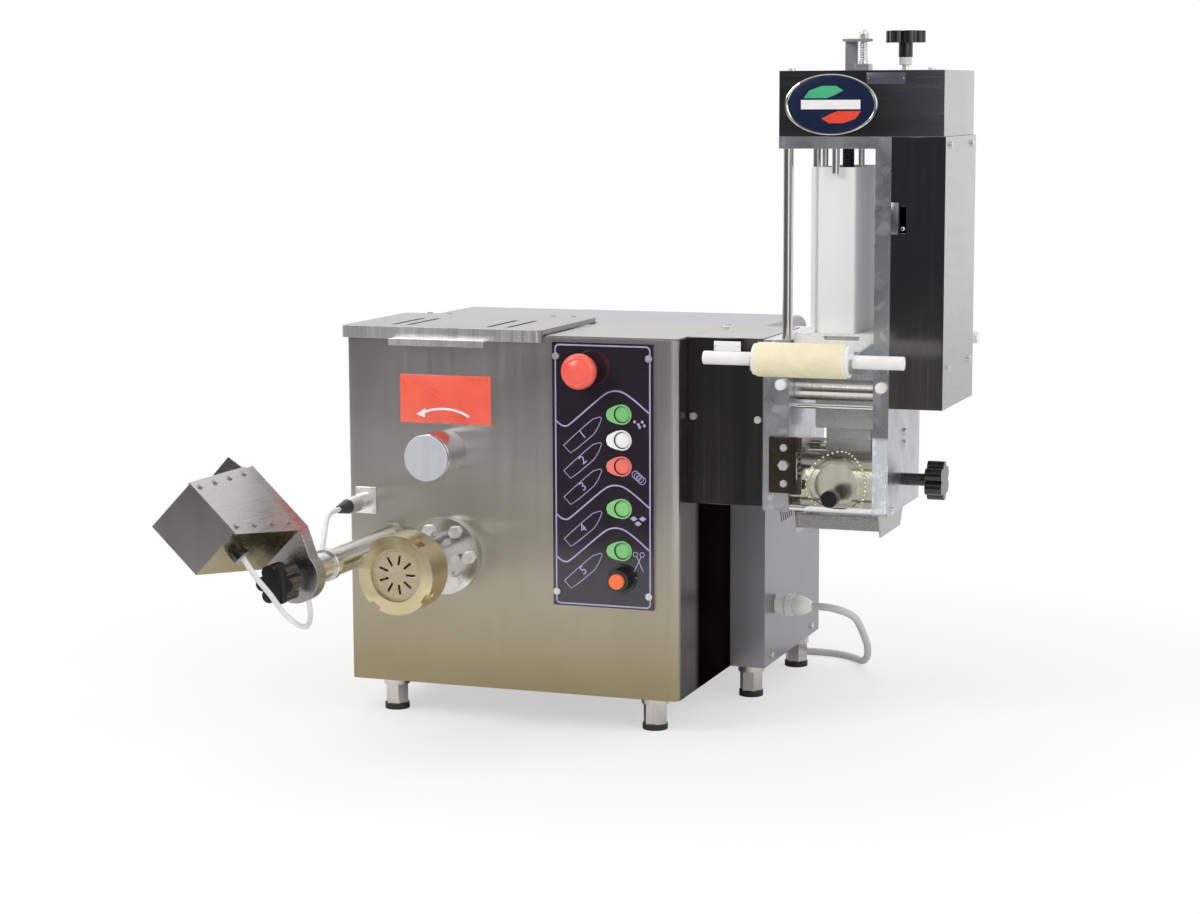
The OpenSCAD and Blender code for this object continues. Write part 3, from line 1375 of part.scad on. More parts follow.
module front_mould_roller() mould_roller(front_mould_y, 0, unit_x);
module rear_mould_roller() mould_roller(rear_mould_y, 180 + 180 / gear_teeth, housing_w - roller_shaft_in);

module roller_scrapers() color("#8a8d90") {
    bar_top = unit_bottom - scraper_drop;
    // Scraper blades under the rollers, on bars between two outlet cheeks
    for (y = [front_mould_y, rear_mould_y]) {
        slab([roller_x, y - 3, bar_top - scraper_bar_h], [right_x, y + 3, bar_top]);
        slab([roller_x, y - 1, bar_top - scraper_bar_h - scraper_blade_h],
            [right_x, y + 1, bar_top - scraper_bar_h]);
    }
    for (x = [roller_x - cheek_t, right_x]) extrude_x(x, x + cheek_t)
        polygon([[unit_y + 24, unit_bottom], [unit_back - 6, unit_bottom],
            [unit_back - 24, unit_bottom - cheek_drop], [unit_y + 36, unit_bottom - cheek_drop]]);
}

// Guard

module guard_bracket() color("#4a3f33") {
    slab([unit_x + 7.5, unit_y - hinge_plate_t, hinge_plate_z],
        [guard_hinge_x - 2, unit_y, hinge_plate_z + hinge_plate_h]);
    for (z = [hinge_plate_z, hinge_plate_z + hinge_plate_h - knuckle_h]) difference() {
        union() {
            bar_z(guard_hinge_x, guard_hinge_y, z, z + knuckle_h, guard_knuckle_r);
            slab([guard_hinge_x - guard_knuckle_r, guard_hinge_y, z],
                [guard_hinge_x - 1, unit_y - 1, z + knuckle_h]);
        }
        bar_z(guard_hinge_x, guard_hinge_y, z - eps, z + knuckle_h + eps, guard_pin_r + fit);
    }
}

module guard() {
    low = hinge_plate_z + knuckle_h + gap;
    high = hinge_plate_z + hinge_plate_h - knuckle_h - gap;
    panel_left = guard_hinge_x + guard_knuckle_r + 0.5;
    color([0.85, 0.9, 0.95, 0.4]) {
        slab([panel_left, guard_back - guard_t, guard_z],
            [guard_hinge_x + guard_w, guard_back, guard_z + guard_h]);
        slab([guard_hinge_x, guard_back - guard_t, low], [panel_left, guard_back, high]);
        bar_z(guard_hinge_x, guard_hinge_y, low, high, guard_knuckle_r);
        bar_z(guard_hinge_x, guard_hinge_y, hinge_plate_z + 2, hinge_plate_z + hinge_plate_h - 2, guard_pin_r);
        slab([right_x + 1.5, guard_back, guard_z], [guard_hinge_x + guard_w, unit_y - gap, guard_z + guard_h]);
    }
    color("#151515") bar_y(guard_hinge_x + 38.5, guard_z + 16.5, guard_back - guard_t - grip_h,
        guard_back - guard_t, grip_r);
}

module side_knob() color("#111111") {
    bar_x(cover_side_x - 11, cover_side_x + gap, unit_mid, side_knob_z, side_shaft_r);
    bar_x(cover_side_x + gap, cover_side_x + 28, unit_mid, side_knob_z, 7);
    translate([cover_side_x + 28, unit_mid, side_knob_z]) rotate([0, 90, 0]) lobed_head(lobed_r, 19);
}

// Screws and bolts on the casing

module pan_head(r = 4, h = 2.5) difference() {
    cylinder(r = r, h = h);
    translate([-r - eps, -0.5, h - 1]) cube([2 * (r + eps), 1, 1 + eps]);
}
module head_front(x, z, y) translate([x, y, z]) rotate([90, 0, 0]) pan_head();
module head_right(y, z, x) translate([x, y, z]) rotate([0, 90, 0]) pan_head();
module head_up(x, y, z) translate([x, y, z]) pan_head();

module fasteners() color("gainsboro") {
    for (i = [0:5]) rotate_about_die(i * 60) hex_head(bolt_circle_r);
    for (x = [panel_x + 5, panel_x + panel_w - 5], z = [panel_z + 16, panel_z + panel_h - 16])
        head_front(x, z, -panel_t);
    head_front(housing_w + 7, 361, link_y);
    head_front(unit_x - 6, 359.5, link_y);
    head_up(housing_w + 11, unit_back - 44, link_top);
    for (y = [unit_y + 22, unit_back - 20], z = [gear_cover_z + 45, head_z - 9]) head_right(y, z, unit_right);
    for (x = [top_plate_x + 10, unit_right - 20]) head_up(x, unit_y + 15, head_top);
    for (y = [rear_y + 27, back_y - 37]) head_right(y, foot_h + 11, rear_w);
    for (x = [unit_x + 21, cover_side_x - 8]) bar_y(x, feed_z + 8, unit_y - 6, unit_y, 6);
    for (z = [hinge_plate_z + 11, hinge_plate_z + hinge_plate_h - 12])
        head_front(unit_x + 25, z, unit_y - hinge_plate_t);
    translate([unit_x + 25, unit_y - hinge_plate_t, hinge_plate_z + hinge_plate_h / 2]) rotate([90, 0, 0])
        cylinder(r = 6, h = 5, $fn = 6);
    head_front(cover_side_x - 9, tab_z + 14, unit_y - fork_t);
    head_front(roller_x - 9, tab_z + 14, unit_y - fork_t);
    for (z = [330, 343]) head_right(unit_mid, z, cover_side_x);
    head_right(unit_y + 18, unit_bottom + 4, cover_side_x);
}
module rotate_about_die(a) translate([drive_x, 0, extruder_z]) rotate([0, a, 0]) children();
module hex_head(r) translate([r, -flange_t, 0]) rotate([90, 0, 0]) {
    cylinder(r = hex_head_r, h = hex_head_h, $fn = 6);
}

// Mains cord

module cord_gland() {
    x = cord_exit[0];
    y = cord_exit[1];
    z = cord_exit[2];
    color("#dcdcda") {
        bar_x(rear_w - sheet_t - 5, x - 30, y, z, gland_r - fit);
        bar_x(rear_w - sheet_t - 6, rear_w - sheet_t, y, z, 12);
        bar_x(rear_w, rear_w + 6, y, z, 14);
        bar_x(rear_w + 6, x - 18, y, z, 11);
        bar_x(x - 18, x - 6, y, z, 12);
        translate([x - 6, y, z]) rotate([0, 90, 0]) cylinder(r1 = 10, r2 = cord_d / 2 + 1.5, h = 6);
    }
}

module mains_cord() color("#b9bcbe") {
    cord_tube(cord_route, cord_d / 2, 10);
    cord_tube(tail_route, cord_d / 2, 10);
}

module cord_coil() color("#b9bcbe") translate([coil_centre[0], coil_centre[1], 0])
    rotate_extrude() translate([coil_mid_r - cord_d, 0]) square([2 * cord_d, 2 * cord_d]);

module mains_plug() color("#2a2a2a") {
    x = plug_at[0];
    y = plug_at[1];
    z = plug_at[2];
    translate([x - plug_relief_len, y, z]) rotate([0, 90, 0])
        cylinder(r1 = plug_at[2] - 0.5, r2 = cord_d / 2 + 1, h = plug_relief_len);
    slab([x - plug_relief_len - plug_body[0], y - plug_body[1] / 2, 0],
        [x - plug_relief_len, y + plug_body[1] / 2, plug_body[2]]);
    color("silver") for (k = [-1:1])
        bar_x(x - plug_relief_len - plug_body[0] - plug_pin_len, x - plug_relief_len - plug_body[0] + 1,
            y + k * plug_pin_pitch, z, plug_pin_r);
}

in_frame() front_housing();
in_frame() rear_housing();
in_frame() base_plate();
in_frame() levelling_feet();
in_frame() top_cover();
in_frame() lid();
in_frame() mixing_tank();
in_frame() mixing_paddle();
in_frame() mixer_knob();
in_frame() control_panel();
in_frame() button_bodies();
in_frame() estop_button();
in_frame() mixer_button();
in_frame() stop_button();
in_frame() extruder_button();
in_frame() ravioli_button();
in_frame() cutter_button();
in_frame() speed_knob();
in_frame() label_plates();
in_frame() cable_connector();
in_frame() extruder_barrel();
in_frame() fasteners();
in_frame() auger();
in_frame() die_insert();
in_frame() ring_nut();
in_frame() gear_motors();
in_frame() drive_chains();
in_frame() arm_rod();
in_frame() cutter_arm();
in_frame() cutter_box();
in_frame() cutter_motor();
in_frame() cutter_knife();
in_frame() arm_knob();
in_frame() cutter_cable_rear();
in_frame() cutter_cable_front();
in_frame() link_box();
in_frame() tower_frame();
in_frame() tie_rods();
in_frame() head_cover();
in_frame() gear_cover();
in_frame() hopper();
in_frame() hopper_base();
in_frame() plunger();
in_frame() lead_screw();
in_frame() top_knob();
in_frame() stop_pin();
in_frame() front_mandrel();
in_frame() rear_mandrel();
in_frame() front_feed_roller();
in_frame() rear_feed_roller();
in_frame() front_mould_roller();
in_frame() rear_mould_roller();
in_frame() roller_scrapers();
in_frame() guard_bracket();
in_frame() guard();
in_frame() side_knob();
in_frame() cord_gland();
in_frame() mains_cord();
in_frame() cord_coil();
in_frame() mains_plug();
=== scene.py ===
"""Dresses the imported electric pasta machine: shapes, finishes, cords, floor, light and camera."""

import json
import logging
import math
from dataclasses import dataclass, field
from enum import Enum
from typing import Callable, Iterable, Optional, Sequence

import bmesh
import bpy
from mathutils import Matrix, Vector

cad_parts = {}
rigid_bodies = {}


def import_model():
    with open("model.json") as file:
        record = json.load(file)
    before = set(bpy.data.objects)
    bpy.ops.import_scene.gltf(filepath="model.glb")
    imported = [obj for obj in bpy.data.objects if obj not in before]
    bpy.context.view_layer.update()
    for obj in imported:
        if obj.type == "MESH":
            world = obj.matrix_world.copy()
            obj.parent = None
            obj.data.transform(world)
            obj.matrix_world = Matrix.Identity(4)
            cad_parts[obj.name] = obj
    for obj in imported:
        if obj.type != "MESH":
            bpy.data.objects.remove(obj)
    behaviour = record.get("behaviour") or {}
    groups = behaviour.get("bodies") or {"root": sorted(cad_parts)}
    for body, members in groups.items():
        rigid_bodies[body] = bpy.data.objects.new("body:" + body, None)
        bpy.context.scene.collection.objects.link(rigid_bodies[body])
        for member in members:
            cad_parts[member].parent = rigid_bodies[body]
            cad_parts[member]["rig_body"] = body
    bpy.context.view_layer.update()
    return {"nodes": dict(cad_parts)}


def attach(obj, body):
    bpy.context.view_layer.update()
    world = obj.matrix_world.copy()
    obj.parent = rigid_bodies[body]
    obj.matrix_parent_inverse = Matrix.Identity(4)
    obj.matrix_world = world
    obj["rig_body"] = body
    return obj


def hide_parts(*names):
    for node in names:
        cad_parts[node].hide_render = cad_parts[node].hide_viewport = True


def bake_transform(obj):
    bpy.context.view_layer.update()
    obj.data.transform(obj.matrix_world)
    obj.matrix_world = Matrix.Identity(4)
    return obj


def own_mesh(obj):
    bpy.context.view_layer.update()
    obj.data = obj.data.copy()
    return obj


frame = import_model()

LOG = logging.getLogger("pasta_machine")

Point = tuple[float, float, float]
Flat = tuple[float, float]
Colour = tuple[float, float, float]

# The machine is laid out in millimetres from the left, the front face and the floor.
MACHINE_ORIGIN = Vector((323.0, 35.0, 0.0))
PANEL_FACE = -3.0
COVER_FACE = 34.0
PLATE_FACE = 33.0
EVERYWHERE = 1.0e4
ACROSS_THE_GRAIN = 0.25


class Axis(Enum):
    """A direction of the machine."""

    X = 0
    Y = 1
    Z = 2


def at(x: float, y: float, z: float) -> Vector:
    """Gives the scene's point for a place in machine millimetres."""
    return (Vector((x, y, z)) - MACHINE_ORIGIN) / 1000.0


def along(points: Iterable[Point]) -> list[Vector]:
    """Gives the scene's points for a route in machine millimetres."""
    return [at(*p) for p in points]


# ---------------------------------------------------------------- shader effects


class Graph:
    """Adds and joins nodes in one node tree."""

    def __init__(self, tree: bpy.types.NodeTree) -> None:
        """Keeps the tree that the nodes go into."""
        self.tree = tree

    def add(self, kind: str, inputs: Optional[dict] = None, **settings: object) -> bpy.types.Node:
        """Adds a node.

        Args:
            kind: The node's type name.
            inputs: Values or output sockets by input name or number.
            settings: Properties of the node.

        Returns:
            The new node.
        """
        node = self.tree.nodes.new(kind)
        for name, value in settings.items():
            setattr(node, name, value)
        for key, value in (inputs or {}).items():
            self.put(node.inputs[key], value)
        return node

    def put(self, socket: bpy.types.NodeSocket, value: object) -> None:
        """Links an output to the socket, or sets the socket's own value."""
        if isinstance(value, bpy.types.NodeSocket):
            self.tree.links.new(value, socket)
        else:
            socket.default_value = value

    def scaled(self, value: bpy.types.NodeSocket, low: object, high: object,
               start: float = 0.0, end: float = 1.0) -> bpy.types.NodeSocket:
        """Maps a value from start and end to low and high.

        Args:
            value: The socket to map.
            low: What start becomes.
            high: What end becomes.
            start: The value that becomes low.
            end: The value that becomes high.

        Returns:
            The mapped value's socket.
        """
        node = self.add("ShaderNodeMapRange", {"Value": value, "From Min": start, "From Max": end,
                                               "To Min": low, "To Max": high})
        return node.outputs["Result"]

    def mixed(self, factor: bpy.types.NodeSocket, first: object, second: object) -> bpy.types.NodeSocket:
        """Mixes two colours.

        Args:
            factor: How much of the second colour shows.
            first: A colour or a colour socket.
            second: A colour or a colour socket.

        Returns:
            The mixed colour's socket.
        """
        node = self.add("ShaderNodeMix", data_type="RGBA")
        for number, value in ((0, factor), (6, first), (7, second)):
            self.put(node.inputs[number], (*value, 1.0) if isinstance(value, tuple) else value)
        return node.outputs[2]

    def sum(self, first: bpy.types.NodeSocket, second: object,
            operation: str = "ADD") -> bpy.types.NodeSocket:
        """Joins two numbers with a math node and gives its output."""
        return self.add("ShaderNodeMath", {0: first, 1: second}, operation=operation).outputs[0]


class Effects:
    """The node groups that several finishes share, each made once."""

    def __init__(self) -> None:
        """Makes every group."""
        self.grain = self._make("drawn_grain", {"Fine": 1.0, "Broad": 0.12}, self._draw_grain)
        self.smudge = self._make("handling_smudges", {"Scale": 9.0}, self._draw_smudge)
        self.speckle = self._make("cast_speckle", {"Scale": 900.0}, self._draw_speckle)
        self.scratches = self._make("stray_scratches", {"Scale": 60.0}, self._draw_scratches)

    def _make(self, name: str, values: dict[str, float],
              draw: Callable[[Graph, bpy.types.Node, bpy.types.Node], None]) -> bpy.types.NodeTree:
        """Makes one group with a vector input, named numbers and a mask output.

        Args:
            name: The group's name.
            values: The number inputs and their defaults.
            draw: Fills the group.

        Returns:
            The group's node tree.
        """
        tree = bpy.data.node_groups.new(name, "ShaderNodeTree")
        tree.interface.new_socket(name="Vector", in_out="INPUT", socket_type="NodeSocketVector")
        for label, value in values.items():
            socket = tree.interface.new_socket(name=label, in_out="INPUT", socket_type="NodeSocketFloat")
            socket.default_value = value
        tree.interface.new_socket(name="Mask", in_out="OUTPUT", socket_type="NodeSocketFloat")
        graph = Graph(tree)
        draw(graph, graph.add("NodeGroupInput"), graph.add("NodeGroupOutput"))
        return tree

    @staticmethod
    def _draw_grain(g: Graph, source: bpy.types.Node, target: bpy.types.Node) -> None:
        """Fills the group for brushed and turned grain: fine lines over broad streaks.

        Args:
            g: The group's graph.
            source: The group's input node.
            target: The group's output node.
        """
        fine = g.add("ShaderNodeTexNoise", {"Vector": source.outputs["Vector"],
                                            "Scale": source.outputs["Fine"],
                                            "Detail": 3.0, "Roughness": 0.7})
        broad = g.add("ShaderNodeTexNoise", {"Vector": source.outputs["Vector"],
                                             "Scale": source.outputs["Broad"], "Detail": 2.0})
        g.put(target.inputs["Mask"], g.sum(g.sum(fine.outputs[0], 0.65, "MULTIPLY"),
                                           g.sum(broad.outputs[0], 0.35, "MULTIPLY")))

    @staticmethod
    def _draw_smudge(g: Graph, source: bpy.types.Node, target: bpy.types.Node) -> None:
        """Fills the group for soft patches where hands and cloths have been.

        Args:
            g: The group's graph.
            source: The group's input node.
            target: The group's output node.
        """
        cloud = g.add("ShaderNodeTexNoise", {"Vector": source.outputs["Vector"],
                                             "Scale": source.outputs["Scale"], "Detail": 4.0,
                                             "Roughness": 0.55, "Distortion": 0.6})
        g.put(target.inputs["Mask"], g.scaled(cloud.outputs[0], 0.0, 1.0, 0.32, 0.68))

    @staticmethod
    def _draw_speckle(g: Graph, source: bpy.types.Node, target: bpy.types.Node) -> None:
        """Fills the group for the small grains of castings, bronze and moulded plastic.

        Args:
            g: The group's graph.
            source: The group's input node.
            target: The group's output node.
        """
        grain = g.add("ShaderNodeTexNoise", {"Vector": source.outputs["Vector"],
                                             "Scale": source.outputs["Scale"], "Detail": 2.0})
        cells = g.add("ShaderNodeTexVoronoi", {"Vector": source.outputs["Vector"],
                                               "Scale": source.outputs["Scale"]})
        g.put(target.inputs["Mask"], g.sum(g.sum(grain.outputs[0], 0.6, "MULTIPLY"),
                                           g.sum(cells.outputs["Distance"], 0.5, "MULTIPLY")))

    @staticmethod
    def _draw_scratches(g: Graph, source: bpy.types.Node, target: bpy.types.Node) -> None:
        """Fills the group for thin scratches in two directions.

        Args:
            g: The group's graph.
            source: The group's input node.
            target: The group's output node.
        """
        masks = []
        for turn, stretch in ((0.5, 22.0), (-0.9, 30.0)):
            turned = g.add("ShaderNodeMapping", {"Vector": source.outputs["Vector"],
                                                 "Rotation": (turn, turn * 0.6, turn * 0.4),
                                                 "Scale": (1.0, stretch, 1.0)})
            line = g.add("ShaderNodeTexNoise", {"Vector": turned.outputs[0],
                                                "Scale": source.outputs["Scale"], "Detail": 1.0})
            masks.append(g.scaled(line.outputs[0], 0.0, 1.0, 0.62, 0.7))
        g.put(target.inputs["Mask"], g.sum(masks[0], masks[1], "MAXIMUM"))


EFFECTS = Effects()


@dataclass(frozen=True)
class Finish:
    """A surface finish; each kind adds its own pattern to the shared shader."""

    name: str
    colour: Colour
    roughness: float = 0.4

    def material(self) -> bpy.types.Material:
        """Gives the finish's material, made the first time it is asked for."""
        label = f"{self.name}_finish"
        found = bpy.data.materials.get(label)
        if found:
            return found
        made = bpy.data.materials.new(label)
        made.use_nodes = True
        made.node_tree.nodes.clear()
        g = Graph(made.node_tree)
        surface = g.add("ShaderNodeBsdfPrincipled", {"Base Color": (*self.colour, 1.0),
                                                     "Roughness": self.roughness})
        place = g.add("ShaderNodeTexCoord").outputs["Object"]
        self.pattern(g, surface, place)
        out = g.add("ShaderNodeOutputMaterial")
        g.put(out.inputs["Surface"], surface.outputs["BSDF"])
        made.diffuse_color = (*self.colour, 1.0)
        return made

    def pattern(self, g: Graph, surface: bpy.types.Node, place: bpy.types.NodeSocket) -> None:
        """Adds the finish's own pattern between the place and the surface.

        Args:
            g: The material's graph.
            surface: The shader node.
            place: The coordinates that the pattern follows.
        """
        raise NotImplementedError

    def shade(self, share: float) -> Colour:
        """Gives the finish's colour, brighter or darker by a share."""
        return tuple(min(1.0, c * share) for c in self.colour)

    @staticmethod
    def mask(g: Graph, tree: bpy.types.NodeTree, place: bpy.types.NodeSocket,
             **values: float) -> bpy.types.NodeSocket:
        """Places a shared effect in the material.

        Args:
            g: The material's graph.
            tree: The effect's node group.
            place: The coordinates that it reads.
            values: The effect's own numbers.

        Returns:
            The effect's mask.
        """
        node = g.add("ShaderNodeGroup", node_tree=tree)
        g.put(node.inputs["Vector"], place)
        for name, value in values.items():
            node.inputs[name].default_value = value
        return node.outputs["Mask"]

    @staticmethod
    def raise_by(g: Graph, surface: bpy.types.Node, height: bpy.types.NodeSocket, depth: float) -> None:
        """Bumps the surface by a height.

        Args:
            g: The material's graph.
            surface: The shader node.
            height: A mask from 0 to 1.
            depth: The relief's depth in metres.
        """
        bump = g.add("ShaderNodeBump", {"Height": height, "Distance": depth, "Strength": 1.0})
        g.put(surface.inputs["Normal"], bump.outputs[0])


@dataclass(frozen=True)
class Brushed(Finish):
    """Sheet or bar metal with a straight grain."""

    axis: Axis = Axis.Z
    across: float = 1500.0
    along: float = 14.0
    depth: float = 0.00002
    contrast: float = 0.16
    sheen: float = 0.65
    metal: float = 1.0
    edge: float = 1.0
    tint: Optional[Colour] = None
    tint_axis: Axis = Axis.Z
    tint_reach: Flat = (40.0, 440.0)

    def pattern(self, g: Graph, surface: bpy.types.Node, place: bpy.types.NodeSocket) -> None:
        """Draws grain along the axis, with smudges in the gloss and light drawn out across the grain, and,
        where a painted light colour is set, painted light: the colour blends into that colour along one axis.

        Args:
            g: The material's graph.
            surface: The shader node.
            place: The coordinates that the pattern follows.
        """
        scale = [self.across] * 3
        scale[self.axis.value] = self.along
        stretched = g.add("ShaderNodeMapping", {"Vector": place, "Scale": scale}).outputs[0]
        grain = self.mask(g, EFFECTS.grain, stretched, Fine=0.4, Broad=0.05)
        smudge = self.mask(g, EFFECTS.smudge, place, Scale=7.0)
        streaks = g.scaled(grain, 0.0, 1.0, 0.3, 0.7)
        first, last = self.shade(1.0 - self.contrast), self.shade(1.0 + self.contrast)
        colour = g.mixed(streaks, first, last)
        # Painted light: along one axis the colour blends into a second colour that stands in for a reflection
        # or shade.
        if self.tint:
            across = g.add("ShaderNodeSeparateXYZ", {"Vector": place}).outputs[self.tint_axis.value]
            start, end = (self._reach(mm) for mm in self.tint_reach)
            painted_light_mix = g.mixed(streaks, tuple(c * (1.0 - self.contrast) for c in self.tint),
                             tuple(c * (1.0 + self.contrast) for c in self.tint))
            colour = g.mixed(g.scaled(across, 1.0, 0.0, start, end), colour, painted_light_mix)
        g.put(surface.inputs["Base Color"], colour)
        surface.inputs["Metallic"].default_value = self.metal
        surface.inputs["Specular Tint"].default_value = (self.edge, self.edge, self.edge, 1.0)
        surface.inputs["Anisotropic"].default_value = self.sheen
        surface.inputs["Anisotropic Rotation"].default_value = ACROSS_THE_GRAIN
        grain_way = [0.02, 0.03, 0.025]
        grain_way[self.axis.value] = 1.0
        way = g.add("ShaderNodeCombineXYZ", dict(enumerate(grain_way))).outputs[0]
        g.put(surface.inputs["Tangent"], way)
        g.put(surface.inputs["Roughness"], g.sum(
            g.scaled(grain, self.roughness - 0.05, self.roughness + 0.07, 0.3, 0.7),
            g.scaled(smudge, -0.03, 0.05)))
        self.raise_by(g, surface, grain, self.depth)

    def _reach(self, place_mm: float) -> float:
        """Turns a place along the painted light's axis, in machine millimetres, into the scene's."""
        spot = [0.0, 0.0, 0.0]
        spot[self.tint_axis.value] = place_mm
        return at(*spot)[self.tint_axis.value]


@dataclass(frozen=True)
class Turned(Finish):
    """Metal cut on a lathe, with rings round its axis."""

    centre: Point = (0.0, 0.0, 0.0)
    axis: Axis = Axis.Y
    depth: float = 0.00002
    speckle: float = 0.0
    sheen: float = 0.75

    def pattern(self, g: Graph, surface: bpy.types.Node, place: bpy.types.NodeSocket) -> None:
        """Draws rings that depend on the distance from the axis and the place along it.

        Args:
            g: The material's graph.
            surface: The shader node.
            place: The coordinates that the pattern follows.
        """
        middle = at(*self.centre)
        moved = g.add("ShaderNodeMapping", {"Vector": place, "Location": tuple(-middle)}).outputs[0]
        parts = g.add("ShaderNodeSeparateXYZ", {"Vector": moved}).outputs
        across = [parts[i] for i in range(3) if i != self.axis.value]
        squares = [g.sum(part, 2.0, "POWER") for part in across]
        radius = g.sum(g.sum(*squares), 0.5, "POWER")
        lines = g.add("ShaderNodeCombineXYZ", {0: radius, 1: parts[self.axis.value]}).outputs[0]
        grain = self.mask(g, EFFECTS.grain, lines, Fine=1400.0, Broad=160.0)
        smudge = self.mask(g, EFFECTS.smudge, place, Scale=22.0)
        colour = g.mixed(g.scaled(grain, 0.0, 1.0, 0.3, 0.7), self.shade(0.84), self.shade(1.14))
        height = grain
        if self.speckle:
            dots = self.mask(g, EFFECTS.speckle, place, Scale=1100.0)
            colour = g.mixed(g.scaled(dots, 0.0, self.speckle, 0.35, 0.75), colour, self.shade(0.45))
            height = g.sum(grain, dots)
        g.put(surface.inputs["Base Color"], colour)
        surface.inputs["Metallic"].default_value = 1.0
        surface.inputs["Anisotropic"].default_value = self.sheen
        surface.inputs["Anisotropic Rotation"].default_value = ACROSS_THE_GRAIN
        spindle = [0.0, 0.0, 0.0]
        spindle[self.axis.value] = 1.0
        rings = g.add("ShaderNodeVectorMath", {0: moved, 1: spindle}, operation="CROSS_PRODUCT").outputs[0]
        g.put(surface.inputs["Tangent"], rings)
        g.put(surface.inputs["Roughness"], g.sum(
            g.scaled(grain, self.roughness - 0.05, self.roughness + 0.06, 0.3, 0.7),
            g.scaled(smudge, -0.03, 0.05)))
        self.raise_by(g, surface, height, self.depth)


@dataclass(frozen=True)
class Milled(Finish):
    """Milled or cast plate with stray scratches."""

    grain: float = 700.0
    scratch: float = 0.35
    metal: float = 1.0
    depth: float = 0.00004

    def pattern(self, g: Graph, surface: bpy.types.Node, place: bpy.types.NodeSocket) -> None:
        """Draws small grains, patches and scratches.

        Args:
            g: The material's graph.
            surface: The shader node.
            place: The coordinates that the pattern follows.
        """
        dots = self.mask(g, EFFECTS.speckle, place, Scale=self.grain)
        marks = self.mask(g, EFFECTS.scratches, place, Scale=55.0)
        smudge = self.mask(g, EFFECTS.smudge, place, Scale=24.0)
        colour = g.mixed(smudge, self.shade(0.84), self.shade(1.08))
        colour = g.mixed(g.scaled(dots, 0.0, 0.5, 0.3, 0.8), colour, self.shade(0.62))
        colour = g.mixed(g.scaled(marks, 0.0, self.scratch), colour, self.shade(1.35))
        g.put(surface.inputs["Base Color"], colour)
        surface.inputs["Metallic"].default_value = self.metal
        g.put(surface.inputs["Roughness"], g.scaled(smudge, self.roughness + 0.08, self.roughness - 0.06))
        self.raise_by(g, surface, g.sum(dots, g.sum(marks, 0.4, "MULTIPLY"), "SUBTRACT"), self.depth)


@dataclass(frozen=True)
class Moulded(Finish):
    """Plastic, rubber or enamel with a fine skin."""

    grain: float = 1800.0
    depth: float = 0.00001
    coat: float = 0.0
    soft: float = 0.0

    def pattern(self, g: Graph, surface: bpy.types.Node, place: bpy.types.NodeSocket) -> None:
        """Draws a fine skin and soft patches of gloss.

        Args:
            g: The material's graph.
            surface: The shader node.
            place: The coordinates that the pattern follows.
        """
        dots = self.mask(g, EFFECTS.speckle, place, Scale=self.grain)
        smudge = self.mask(g, EFFECTS.smudge, place, Scale=30.0)
        g.put(surface.inputs["Base Color"], g.mixed(smudge, self.shade(0.92), self.shade(1.05)))
        g.put(surface.inputs["Roughness"], g.scaled(smudge, max(0.03, self.roughness - 0.05),
                                                    self.roughness + 0.06))
        surface.inputs["Coat Weight"].default_value = self.coat
        surface.inputs["Coat Roughness"].default_value = 0.08
        surface.inputs["Subsurface Weight"].default_value = self.soft
        surface.inputs["Subsurface Radius"].default_value = (0.004, 0.004, 0.003)
        surface.inputs["Subsurface Scale"].default_value = 1.0
        self.raise_by(g, surface, dots, self.depth)


@dataclass(frozen=True)
class Sheath(Finish):
    """The rubber skin of a cord, with dusty patches."""

    def pattern(self, g: Graph, surface: bpy.types.Node, place: bpy.types.NodeSocket) -> None:
        """Draws dusty patches and a fine skin.

        Args:
            g: The material's graph.
            surface: The shader node.
            place: The coordinates that the pattern follows.
        """
        dots = self.mask(g, EFFECTS.speckle, place, Scale=1300.0)
        smudge = self.mask(g, EFFECTS.smudge, place, Scale=16.0)
        g.put(surface.inputs["Base Color"], g.mixed(smudge, self.shade(0.9), self.shade(1.06)))
        g.put(surface.inputs["Roughness"], g.scaled(smudge, self.roughness, self.roughness + 0.14))
        self.raise_by(g, surface, dots, 0.00002)


@dataclass(frozen=True)
class Threaded(Finish):
    """A bar with a screw thread along Z."""

    pitch: float = 0.003

    def pattern(self, g: Graph, surface: bpy.types.Node, place: bpy.types.NodeSocket) -> None:
        """Draws the thread as a relief, with a painted highlight on its crests and painted shade in its
        grooves.

        Args:
            g: The material's graph.
            surface: The shader node.
            place: The coordinates that the pattern follows.
        """
        parts = g.add("ShaderNodeSeparateXYZ", {"Vector": place}).outputs
        wave = g.sum(g.sum(parts["Z"], 2.0 * math.pi / self.pitch, "MULTIPLY"), 0.0, "SINE")
        crest = g.scaled(wave, 0.0, 1.0, -1.0, 1.0)
        # Painted light: the crests are painted lighter and the grooves darker.
        g.put(surface.inputs["Base Color"], g.mixed(crest, self.shade(0.5), self.shade(1.3)))
        surface.inputs["Metallic"].default_value = 0.8
        g.put(surface.inputs["Roughness"], g.scaled(crest, self.roughness + 0.2, self.roughness))
        self.raise_by(g, surface, crest, 0.0008)


@dataclass(frozen=True)
class Clear(Finish):
    """Clear polycarbonate, faintly hazed by wiping."""

    def pattern(self, g: Graph, surface: bpy.types.Node, place: bpy.types.NodeSocket) -> None:
        """Draws haze in the gloss of a clear sheet.

        Args:
            g: The material's graph.
            surface: The shader node.
            place: The coordinates that the pattern follows.
        """
        smudge = self.mask(g, EFFECTS.smudge, place, Scale=20.0)
        marks = self.mask(g, EFFECTS.scratches, place, Scale=40.0)
        g.put(surface.inputs["Base Color"], g.mixed(smudge, self.shade(0.98), self.shade(1.0)))
        g.put(surface.inputs["Roughness"], g.sum(g.scaled(smudge, 0.01, self.roughness),
                                                 g.scaled(marks, 0.0, 0.04)))
        surface.inputs["Transmission Weight"].default_value = 1.0
        surface.inputs["IOR"].default_value = 1.2


